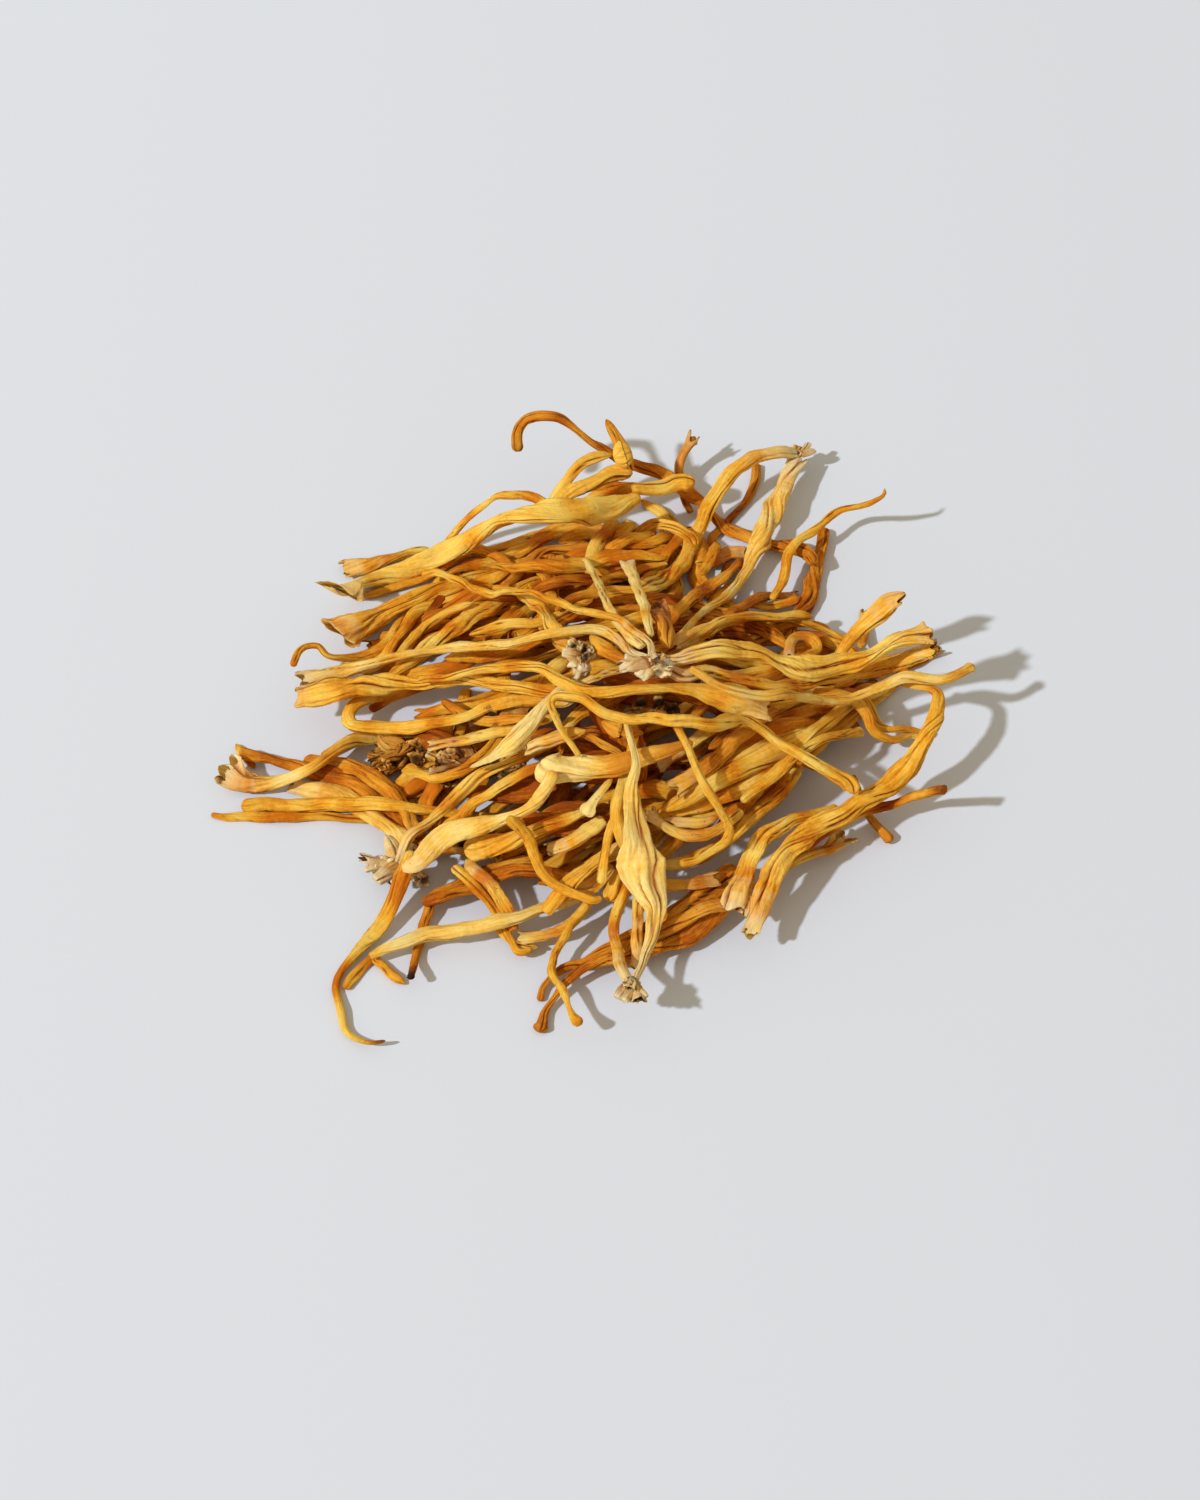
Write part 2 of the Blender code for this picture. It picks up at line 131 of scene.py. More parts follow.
def mixColours(tree, factor, first, second, blend="MIX"):
    # factor, first and second are (node, socket) pairs or plain values
    mix = tree.nodes.new("ShaderNodeMix")
    mix.data_type = "RGBA"
    mix.blend_type = blend
    for socket, value in ((0, factor), (6, first), (7, second)):
        if isinstance(value, tuple) and hasattr(value[0], "outputs"):
            tree.links.new(value[0].outputs[value[1]], mix.inputs[socket])
        elif socket == 0:
            mix.inputs[0].default_value = value
        else:
            mix.inputs[socket].default_value = (*value, 1.0)
    return mix, 2


def mathNode(tree, operation, a, b=None, clamp=False):
    node = tree.nodes.new("ShaderNodeMath")
    node.operation = operation
    node.use_clamp = clamp
    for i, value in enumerate((a, b)):
        if value is None:
            continue
        if isinstance(value, tuple):
            tree.links.new(value[0].outputs[value[1]], node.inputs[i])
        else:
            node.inputs[i].default_value = value
    return node, 0


def weightedSum(tree, *terms):
    # each term is a source and its weight
    total = None
    for source, weight in terms:
        part = mathNode(tree, "MULTIPLY", source, weight)
        total = mathNode(tree, "ADD", total, part) if total else part
    return total


def attribute(tree, name):
    node = tree.nodes.new("ShaderNodeAttribute")
    node.attribute_name = name
    return node, "Fac"


def spread(tree, source, low, high):
    node = tree.nodes.new("ShaderNodeMapRange")
    node.inputs["From Min"].default_value = low
    node.inputs["From Max"].default_value = high
    tree.links.new(source[0].outputs[source[1]], node.inputs["Value"])
    return node, 0


def noiseNode(tree, vector, scale, detail=4.0, roughness=0.55):
    node = addNode(tree, "ShaderNodeTexNoise", Scale=scale, Detail=detail, Roughness=roughness)
    tree.links.new(vector[0].outputs[vector[1]], node.inputs["Vector"])
    return node, 0


def makeSkin(slot):
    # dried fungus skin: long fibres, blotches, pale root ends and small dark specks, with painted shade in
    # the creases
    colours = palettes[slot]
    material = bpy.data.materials.new(slot + "Skin")
    material.use_nodes = True
    tree = material.node_tree
    shader = tree.nodes["Principled BSDF"]
    place = (tree.nodes.new("ShaderNodeTexCoord"), "Object")
    # the fibres run along the stalk: its UV is wrapped to a circle so that no seam shows
    uv = tree.nodes.new("ShaderNodeUVMap")
    split = tree.nodes.new("ShaderNodeSeparateXYZ")
    link(tree, uv, "UV", split, "Vector")
    angle = mathNode(tree, "MULTIPLY", (split, "X"), 2 * math.pi)
    ring = tree.nodes.new("ShaderNodeCombineXYZ")
    for operation, socket in (("COSINE", "X"), ("SINE", "Y")):
        turned = mathNode(tree, operation, angle)
        tree.links.new(turned[0].outputs[0], ring.inputs[socket])
    stretched = mathNode(tree, "MULTIPLY", (split, "Y"), 0.6)
    tree.links.new(stretched[0].outputs[0], ring.inputs["Z"])
    fibres = noiseNode(tree, (ring, 0), skin["fibres"], 7.0, 0.66)
    blotches = noiseNode(tree, place, skin["blotches"], 3.0)
    wrinkles = noiseNode(tree, place, skin["wrinkles"], 4.0, 0.62)
    grain = noiseNode(tree, place, skin["grain"], 3.0, 0.6)
    tone = weightedSum(tree, (fibres, 0.56), (blotches, 0.28), (wrinkles, 0.16),
                       (attribute(tree, "tone"), 0.2))
    ramp = tree.nodes.new("ShaderNodeValToRGB")
    ramp.color_ramp.elements[0].position = 0.34
    ramp.color_ramp.elements[0].color = (*colours["dark"], 1.0)
    ramp.color_ramp.elements[1].position = 0.66
    ramp.color_ramp.elements[1].color = (*colours["light"], 1.0)
    ramp.color_ramp.elements.new(0.49).color = (*colours["middle"], 1.0)
    link(tree, tone[0], 0, ramp, "Fac")
    colour = mixColours(tree, attribute(tree, "root"), (ramp, 0), colours["root"])
    # painted shade: the creases and folds are painted near black
    dark = mathNode(tree, "MULTIPLY", attribute(tree, "crease_shade"), 1.05, clamp=True)
    colour = mixColours(tree, dark, colour, colours["crease_shade"])
    # specks, the brown scorch at some tips, and painted shade inside the hollows of cup ends and feet, on
    # the same mask
    dots = addNode(tree, "ShaderNodeTexVoronoi", Scale=skin["speckSize"], Randomness=1.0)
    tree.links.new(place[0].outputs[place[1]], dots.inputs["Vector"])
    near = spread(tree, (dots, "Distance"), 0.16, 0.09)
    rare = spread(tree, noiseNode(tree, place, 420.0, 2.0), 0.56, 0.64)
    specks = mathNode(tree, "MULTIPLY", mathNode(tree, "MULTIPLY", near, rare), 0.7, clamp=True)
    colour = mixColours(tree, specks, colour, (0.09, 0.03, 0.01))
    colour = mixColours(tree, attribute(tree, "scorch_and_hollow_shade"), colour, (0.035, 0.014, 0.006))
    tree.links.new(colour[0].outputs[colour[1]], shader.inputs["Base Color"])
    rough = mathNode(tree, "ADD", mathNode(tree, "MULTIPLY", fibres, 0.3), skin["roughness"] - 0.14)
    tree.links.new(rough[0].outputs[0], shader.inputs["Roughness"])
    shader.inputs["Subsurface Weight"].default_value = skin["subsurface"]
    shader.inputs["Subsurface Radius"].default_value = (1.0, 0.45, 0.12)
    shader.inputs["Subsurface Scale"].default_value = 0.0012
    shader.inputs["Specular IOR Level"].default_value = 0.08
    height = weightedSum(tree, (fibres, 1.6), (grain, 0.45), (wrinkles, 0.9))
    bump = addNode(tree, "ShaderNodeBump", Strength=0.9, Distance=0.00022)
    tree.links.new(height[0].outputs[0], bump.inputs["Height"])
    link(tree, bump, "Normal", shader, "Normal")
    return material


print("making the skins")
materials = {slot: makeSkin(slot) for slot in palettes}


# ---------------------------------------------------------------- stalk surface
def wander(dice, at, wavelength):
    # a smooth random line, about -1 to 1, that never repeats along a stalk
    total = np.zeros(np.shape(at))
    for _ in range(5):
        total += np.sin(at * 2 * math.pi / (wavelength * dice.uniform(0.6, 1.9)) + dice.uniform(0, 6.28))
    return total / 2.3


def smoothRows(rows, spacing):
    # a smooth curve through the rows of x, y, z, half width and half thickness, evenly spaced
    rows = np.asarray(rows, float)
    run = np.concatenate([[0.0], np.cumsum(np.linalg.norm(np.diff(rows[:, :3], axis=0), axis=1))])
    slope = np.gradient(rows, run, axis=0)
    at = np.linspace(0, run[-1], max(8, math.ceil(run[-1] / spacing) + 1))
    k = np.clip(np.searchsorted(run, at, side="right") - 1, 0, len(run) - 2)
    gap = run[k + 1] - run[k]
    t = ((at - run[k]) / gap)[:, None]
    gap = gap[:, None]
    curve = ((1 + 2 * t) * (1 - t) ** 2 * rows[k] + t * (1 - t) ** 2 * gap * slope[k]
             + t ** 2 * (3 - 2 * t) * rows[k + 1] + t ** 2 * (t - 1) * gap * slope[k + 1])
    curve[:, 3:] = np.maximum(curve[:, 3:], 0.2)
    return curve, at


def endRows(style, half, length):
    # one end of a stalk, from its closed pole inwards: distance in mm, size factor, how hollow
    if style == "cup":
        deep = min(2.6, length * 0.2)
        inside = [(1.0, 0.0), (0.97, 0.3), (0.8, 0.46), (0.5, 0.58), (0.2, 0.68), (0.03, 0.76)]
        rows = [(deep * d, f * 1.3, 1.0) for d, f in inside]
        return rows + [(0.0, 1.16, 0.6), (0.03, 1.3, 0.15), (0.3, 1.34, 0.0), (0.8, 1.28, 0.0)]
    reach = half * {"round": 0.95, "point": 3.2, "club": 1.2, "cut": 0.35, "head": 1.1}[style]
    power = {"point": 1.25, "cut": 0.4}.get(style, 0.85)
    swell = {"club": 1.22, "head": 1.35}.get(style, 1.0)
    turns = [i / 7 * math.pi / 2 for i in range(8)]
    return [(reach * (1 - math.cos(turn)), swell * math.sin(turn) ** power, 0.0) for turn in turns]


def stalkRows(length, spacing, startStyle, endStyle, startHalf, endHalf):
    first = endRows(startStyle, startHalf, length)
    last = [(length - d, f, h) for d, f, h in reversed(endRows(endStyle, endHalf, length))]
    low, high = max(r[0] for r in first[-2:]), min(r[0] for r in last[:2])
    count = max(4, round((high - low) / spacing))
    body = [(low + (high - low) * i / count, 1.0, 0.0) for i in range(1, count)]
    swells = {"cup": (0.32, 2.4), "club": (0.22, 5.0), "head": (0.35, 1.3)}
    rows = np.array(first + body + last)
    middle = slice(len(first), len(first) + len(body))
    for style, away in ((startStyle, rows[:, 0]), (endStyle, length - rows[:, 0])):
        grow, fade = swells.get(style, (0.0, 1.0))
        rows[middle, 1] += grow * np.exp(-away[middle] / fade)
    return rows


def stalkSurface(rows, look, dice, spacing, around):
    # vertex places, in mm, and the masks that the skin reads
    path, at = smoothRows(rows, 0.35)
    length = at[-1]
    stations = stalkRows(length, spacing, look["start"], look["end"], path[0, 3], path[-1, 3])
    along, factor, hollow = stations.T
    tangent = np.gradient(path[:, :3], at, axis=0)
    side = np.cross(tangent, (0, 0, 1))
    side /= np.linalg.norm(side, axis=1)[:, None] + 1e-9
    up = np.cross(side, tangent)
    up /= np.linalg.norm(up, axis=1)[:, None] + 1e-9

    def sample(data):
        return np.array([np.interp(along, at, column) for column in np.atleast_2d(data.T)]).T

    centre, side, up, tangent = sample(path[:, :3]), sample(side), sample(up), sample(tangent)
    wide, thick = sample(path[:, 3])[:, 0], sample(path[:, 4])[:, 0]
    kink = np.minimum(1, np.minimum(along, length - along) / 4) * look["kink"]
    sideways, upwards = wander(dice, along, 9) * kink, wander(dice, along, 11) * kink
    centre += side * sideways[:, None] + up * upwards[:, None] * 0.6

    angle = np.linspace(0, -2 * math.pi, around + 1)[None, :]
    s = along[:, None]
    phi = angle + look["twist"] * s / 30 + 0.4 * wander(dice, s, 30)
    size = 1 + look["lumps"] * (0.06 * wander(dice, s, 11) + 0.02 * wander(dice, s, 3.5))
    # the crease mask is painted shade: it grows in the folds and pleats, and the skin paints them dark
    crease_shade = np.zeros((len(along), around + 1))
    # deep folds that run along the stalk, then finer and finer pleats
    for _ in range(look["grooves"]):
        centreAngle = dice.uniform(0, 6.28) + 0.3 * wander(dice, s, 22)
        depth = look["depth"] * np.clip(0.75 + 0.7 * wander(dice, s, 16), 0, 1.3)
        away = (phi - centreAngle + math.pi) % (2 * math.pi) - math.pi
        groove = 1 / (1 + (away / dice.uniform(0.10, 0.24)) ** 2) ** 1.5
        size = size - depth * groove
        crease_shade += groove ** 3 * depth / 0.22
    for count, deep in ((4, 0.08), (7, 0.07), (11, 0.06), (17, 0.04)):
        fold = np.abs(np.sin(count / 2 * phi + dice.uniform(0, 6) + 0.6 * wander(dice, s, 16)))
        strength = deep * look["pleat"] * np.clip(0.8 + 0.7 * wander(dice, s, 18), 0.1, 1.6)
        size = size + strength * (fold * 1.6 - 1)
        crease_shade += 3 * (1 - fold) ** 5 * strength
    ripple = np.sin(s * 2 * math.pi / dice.uniform(0.9, 1.6) + 1.6 * np.sin(phi + dice.uniform(0, 6))
                    + 1.3 * wander(dice, s, 4))
    calm = np.clip(wander(dice, s, 9), 0, 1)
    size = size + 0.03 * look["pleat"] * ripple * calm
    crease_shade += 0.15 * np.clip(-ripple, 0, 1) * calm
    grain = np.random.RandomState(dice.randrange(10 ** 6)).normal(size=size.shape)
    grain[:, -1] = grain[:, 0]
    size = size + look["velvet"] * grain
    size = np.clip(size, 0.42, 1.5) * factor[:, None]
    thick = thick * (1 - look["flat"] * np.clip(0.6 + 0.7 * wander(dice, along, 21), 0, 1))
    for place, more, reach in look["swell"]:
        grown = 1 + more * np.exp(-((along / length - place) / reach) ** 2)
        wide, thick = wide * grown, thick * (1 + (grown - 1) * 0.4)
    for style, away in ((look["start"], along), (look["end"], length - along)):
        if style == "cup":
            pinched = look["pinch"] * np.exp(-(away / 3.2) ** 2)
            thick, wide = thick * (1 - pinched), wide * (1 + 0.25 * pinched)
    free = np.clip(np.minimum(along, length - along) / 5, 0, 1)
    lean = (look["lean"] * wander(dice, along, 24) * free)[:, None]
    side, up = side * np.cos(lean) + up * np.sin(lean), up * np.cos(lean) - side * np.sin(lean)
    # a broad stalk dries as a ribbon with rolled edges
    flat = np.clip((wide / thick - 1.1) / 0.6, 0, 1)
    roll = (0.42 * wander(dice, along, 17) * flat * wide)[:, None] * factor[:, None]
    across = np.cos(angle)
    lift = np.sin(angle)
    outward = wide[:, None] * size * across
    upward = thick[:, None] * size * lift + roll * across ** 2 - roll * 0.35
    points = (centre[:, None, :] + side[:, None, :] * outward[:, :, None]
              + up[:, None, :] * upward[:, :, None])
    for style, away, sign in ((look["start"], along, -1), (look["end"], length - along, 1)):
        if style == "cup":
            ragged = 0.55 * wander(dice, angle * 2, 3.1) + 0.35 * np.sin(3 * angle + dice.uniform(0, 6))
            push = ragged * np.exp(-(away[:, None] / 0.8) ** 2) * (factor[:, None] > 0.5)
            points += sign * tangent[:, None, :] * push[:, :, None]
    points[:, -1] = points[:, 0]
    points[:, :, 2] = np.maximum(points[:, :, 2], 0.04)
    crease_shade[:, -1] = crease_shade[:, 0]
    root = np.zeros(len(along))
    scorch_and_hollow_shade = np.zeros(len(along))
    for tip, away in (("start", along), ("end", length - along)):
        burnt, reach = look.get(tip + "Burnt", 0), look.get(tip + "Pale", 0)
        if look[tip] == "cup":
            root = np.maximum(root, look["pale"] * np.exp(-away / dice.uniform(2.5, 5)))
        if reach:
            root = np.maximum(root, np.exp(-(away / reach) ** 1.5))
        if burnt:
            scorch_and_hollow_shade = np.maximum(scorch_and_hollow_shade, burnt * np.exp(-(away / 2.6) ** 2))
    root = root[:, None] + 0.15 * wander(dice, s, 3) * (root[:, None] > 0.05)
    root = np.clip(root, 0, 1) * (1 - hollow[:, None])
    # painted shade: the hollow inside a cup end is painted dark, on the same mask as the real scorch of
    # burnt tips
    scorch_and_hollow_shade = np.maximum(scorch_and_hollow_shade[:, None], hollow[:, None] * look.get("holeDark", 0.6))
    masks = {"crease_shade": np.clip(crease_shade, 0, 1), "root": root + 0 * crease_shade, "scorch_and_hollow_shade": scorch_and_hollow_shade + 0 * crease_shade,
             "tone": look["tone"] + look["fade"] * s / length + 0.45 * wander(dice, s, 12) + 0 * crease_shade}
    return points, masks, along


def writeMasks(mesh, masks):
    for mask, values in masks.items():
        layer = mesh.attributes.new(mask, "FLOAT", "POINT")
        layer.data.foreach_set("value", values.astype(np.float32).ravel())


def wrapGrid(name, points, masks, along, slot):
    # a flat grid is wrapped round the route; its doubles are merged, which closes the seam and the ends
    rows, columns = points.shape[:2]
    bpy.ops.object.select_all(action="DESELECT")
    bpy.ops.mesh.primitive_grid_add(x_subdivisions=columns - 1, y_subdivisions=rows - 1, size=1)
    piece = bpy.context.object
    piece.name = name
    mesh = piece.data
    mesh.vertices.foreach_set("co", (points * mm).ravel())
    writeMasks(mesh, masks)
    # the UV runs round in one turn, and along in centimetres
    uv = mesh.uv_layers.active.data
    flat = np.zeros(len(uv) * 2, np.float32)
    uv.foreach_get("uv", flat)
    line = np.rint(flat[1::2] * (rows - 1)).astype(int)
    flat[1::2] = along[line] / 10
    uv.foreach_set("uv", flat)
    bpy.ops.object.mode_set(mode="EDIT")
    bpy.ops.mesh.select_all(action="SELECT")
    bpy.ops.mesh.remove_doubles(threshold=1e-6)
    bpy.ops.mesh.faces_shade_smooth()
    bpy.ops.object.mode_set(mode="OBJECT")
    mesh.materials.append(materials[slot])
    return piece


def buildStalk(name, rows, look, slot, fineness=1.0):
    dice = random.Random(name)
    wide = max(r[3] for r in rows)
    around = max(18, min(52, round(wide * 21 * fineness)))
    points, masks, along = stalkSurface(rows, look, dice, 0.55 / fineness, around)
    return wrapGrid(name, points, masks, along, slot)


def joinAll(pieces):
    # the pieces become one object, the first of them
    bpy.ops.object.select_all(action="DESELECT")
    for piece in pieces:
        piece.select_set(True)
    bpy.context.view_layer.objects.active = pieces[0]
    if len(pieces) > 1:
        bpy.ops.object.join()
    return pieces[0]


def finishPiece(piece, slot, *replaced):
    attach(piece, "root")
    if replaced:
        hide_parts(*replaced)


# ---------------------------------------------------------------- the traced stalks
def readRings(node, count):
    # the rings of a CAD tube, root end first: x, y, z, half width and half thickness in mm
    bm = bmesh.new()
    bm.from_mesh(node.data)
    bmesh.ops.remove_doubles(bm, verts=bm.verts, dist=1e-6)
    rings = None
    for pole in bm.verts:
        if len(pole.link_edges) != count:
            continue
        layers = [{pole}]
        seen = {pole}
        while layers[-1]:
            beyond = {edge.other_vert(v) for v in layers[-1] for edge in v.link_edges} - seen
            seen |= beyond
            layers.append(beyond)
        layers.pop()
        if [len(layer) for layer in layers[1:]] != [count] * (len(layers) - 2) + [1]:
            continue
        places = [np.array([v.co[:] for v in layer]) / mm for layer in layers[1:-1]]
        centres = np.array([p.mean(axis=0) for p in places])
        if np.dot(np.array(pole.co) / mm - centres[0], centres[1] - centres[0]) > 0:
            rings = []
            tangents = np.gradient(centres, axis=0)
            for spots, centre, tangent in zip(places, centres, tangents):
                side = np.cross(tangent, (0, 0, 1))
                side /= np.linalg.norm(side)
                up = np.cross(side, tangent)
                up /= np.linalg.norm(up)
                halfWide = np.abs((spots - centre) @ side).max() / math.cos(math.pi / 6)
                rings.append([*centre, halfWide, np.abs((spots - centre) @ up).max()])
            break
    bm.free()
    return rings


# how each stalk differs from the plain one: start and end are the shapes of its two ends; a swell is its
# place and reach, in parts of the length, with the share of width that it adds between them
plainLook = dict(start="round", end="round", twist=0.8, grooves=3, depth=0.24, pleat=1.0, lumps=1.0,
                 kink=0.14, velvet=0.0, tone=0.0, fade=0.0, pale=0.7, flat=0.3, pinch=0.7, lean=0.5,
                 swell=())
looks = {
    "left_low_orange": dict(start="cut", tone=-0.1),
    "left_low_pale": dict(swell=((0.0, 0.9, 0.1),), start="cup", pale=1.0, grooves=4),
    "left_runner": dict(grooves=2, startBurnt=0.15),
    "front_left_curl": dict(start="point", tone=-0.1, startBurnt=0.6, grooves=3),
    "right_front_small": dict(start="cup", holeDark=0.5),
    "black_tip": dict(start="head", startBurnt=1.0, tone=-0.15),
    "front_hook": dict(grooves=2, depth=0.16),
    "front_pale_ribbon": dict(start="cut", tone=0.15, twist=1.4, grooves=3),
    "front_orange_upper": dict(swell=((0.1, 0.5, 0.3),), end="club", grooves=5, depth=0.34, twist=0.3),
    "front_orange_lower": dict(swell=((0.1, 0.4, 0.3),), end="head", grooves=5, depth=0.34, twist=0.3,
            endBurnt=0.2),
    "back_right_post": dict(grooves=4),
    "back_hook": dict(startBurnt=0.25, grooves=4, depth=0.3, twist=1.8),
    "right_stub": dict(start="cup", pale=0.4, grooves=5, depth=0.3),
    "left_flared": dict(swell=((0.03, 0.35, 0.12),), start="cup", pale=0.45, grooves=4, depth=0.26),
    "left_broad_arc": dict(start="cut", tone=0.1, grooves=4),
    "front_flat_pod": dict(start="club", tone=-0.12, grooves=6, depth=0.2),
    "fan_broad": dict(start="point", tone=0.3, grooves=2, depth=0.2, lumps=0.4, pleat=0.6, kink=0.05),
    "right_front_stalk": dict(swell=((0.08, 0.5, 0.12),), start="cup", pale=1.0, grooves=5),
    "right_tail": dict(start="cut", startBurnt=0.35),
    "back_arch": dict(start="cut", grooves=4),
    "back_bend": dict(start="club", tone=0.08, grooves=4),
    "back_club": dict(end="club", tone=0.1),
    "front_thin_twist": dict(end="club", grooves=2),
    "back_right_tip": dict(start="point", grooves=3, kink=0.3),
    "back_pale_ribbon": dict(start="cup", grooves=4, depth=0.2, tone=0.1, twist=0.4),
    "right_loop": dict(grooves=2, depth=0.14),
    "left_thin_arc": dict(grooves=2, depth=0.14),
    "left_big_upper": dict(swell=((0.0, 0.5, 0.07), (0.8, 0.15, 0.12)), start="cup", pale=0.5, tone=0.4,
                           grooves=3, depth=0.16, twist=0.3, lumps=0.5, pleat=0.7, kink=0.08),
    "pale_club": dict(swell=((0.05, 0.25, 0.12),), start="club", velvet=0.012, grooves=3, depth=0.16,
                      tone=0.7, fade=-2.6, pleat=0.7, flat=0.0),
    "left_broad": dict(swell=((0.12, 0.4, 0.14),), start="cup", pale=0.3, grooves=4, tone=0.08,
                       velvet=0.006),
    "left_foot_velvet": dict(swell=((0.25, 0.3, 0.2), (0.0, -0.35, 0.08)), start="point", velvet=0.014,
                             grooves=2, depth=0.14, pleat=0.6, tone=0.1),
    "front_wave": dict(start="club", grooves=2),
    "front_wide_pale": dict(swell=((0.45, 0.7, 0.13), (0.1, -0.3, 0.12), (0.85, -0.35, 0.2)), start="cut",
                            grooves=4, tone=0.3, twist=0.5, flat=0.6),
    "right_big_ribbon": dict(swell=((0.1, 0.3, 0.1),), start="cup", pale=1.0, grooves=5, twist=2.2),
    "pale_blade": dict(start="point", tone=0.6, grooves=2, depth=0.14, twist=0.6, flat=0.6, lumps=0.3,
                       kink=0.05),
    "long_sweep": dict(start="cup", grooves=4, tone=-0.05),
    "long_middle": dict(swell=((0.9, 0.5, 0.12),), end="cup", pale=0.6, grooves=4),
    "long_lower": dict(grooves=3, depth=0.2),
    "upright_cup": dict(start="cup", pale=1.0, holeDark=0.4, tone=0.3, pinch=0.2),
    "knobby_long": dict(start="head", grooves=2, kink=0.3),
    "right_twin": dict(end="cup", pale=0.2, tone=-0.1, grooves=5, depth=0.3, velvet=0.008),
    "right_thick": dict(end="cup", pale=0.25, grooves=5, depth=0.26, velvet=0.012, tone=0.08, pleat=1.2),
    "right_thin": dict(end="head", grooves=2, depth=0.16, kink=0.25),
}
# stalks that run into a foot are drawn on into it: which end of the stalk, 0 or -1, and which foot
intoFeet = {
    "back_arch": (0, "back_foot"), "back_pale_ribbon": (0, "back_foot"),
    "front_foot_stalk": (0, "front_foot"), "front_wide_pale": (0, "front_foot"),
    "left_foot_velvet": (0, "left_foot"), "left_foot_stalk": (0, "left_foot"),
    "right_twin": (0, "middle_foot"), "right_thick": (0, "middle_foot"),
    "long_sweep": (-1, "middle_foot"), "knobby_long": (-1, "middle_foot"),
    "cross_stalk": (-1, "inner_foot"), "left_u_turn": (-1, "inner_foot"), "pale_blade": (-1, "inner_foot"),
}
into = {"share": 0.8, "narrowing": 0.9, "paleReach": 6.5}


def drawInto(name, rows):
    end, foot = intoFeet[name]
    low, high = (np.array(corner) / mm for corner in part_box(foot))
    last = rows[end]
    spot = np.array(last[:3]) + (((low + high) / 2) - last[:3]) * into["share"]
    extra = [*spot, last[3] * into["narrowing"], last[4] * into["narrowing"]]
    return [extra] + rows if end == 0 else rows + [extra]


slotOf = {entry["node"]: entry["material_slot"] for entry in frame["record"]["subparts"]}
stalkNames = sorted(name for name, slot in slotOf.items() if slot != "foot_grey")
tubeSides = 6
# painted light and shade: the upper stalks are painted paler and the lower ones darker, tone for each mm
# above the middle height, 9 mm
paintedHeightLight = 0.015
print("shaping", len(stalkNames), "stalks")
stalkRoutes = {}
for name in stalkNames:
    stalkRoutes[name] = readRings(nodes[name], tubeSides)
    if name in intoFeet:
        stalkRoutes[name] = drawInto(name, stalkRoutes[name])
    dice = random.Random(name + "look")
    look = dict(plainLook, twist=dice.uniform(-1.6, 1.6), grooves=dice.choice((2, 3, 3, 4)))
    look.update(looks.get(name, {}))
    look["tone"] += dice.uniform(-0.2, 0.2) + paintedHeightLight * (np.mean([row[2] for row in stalkRoutes[name]]) - 9)
    if name in intoFeet:
        look["startPale" if intoFeet[name][0] == 0 else "endPale"] = into["paleReach"]
    piece = buildStalk(name + "_skin", stalkRoutes[name], look, slotOf[name])
    finishPiece(piece, slotOf[name], name)


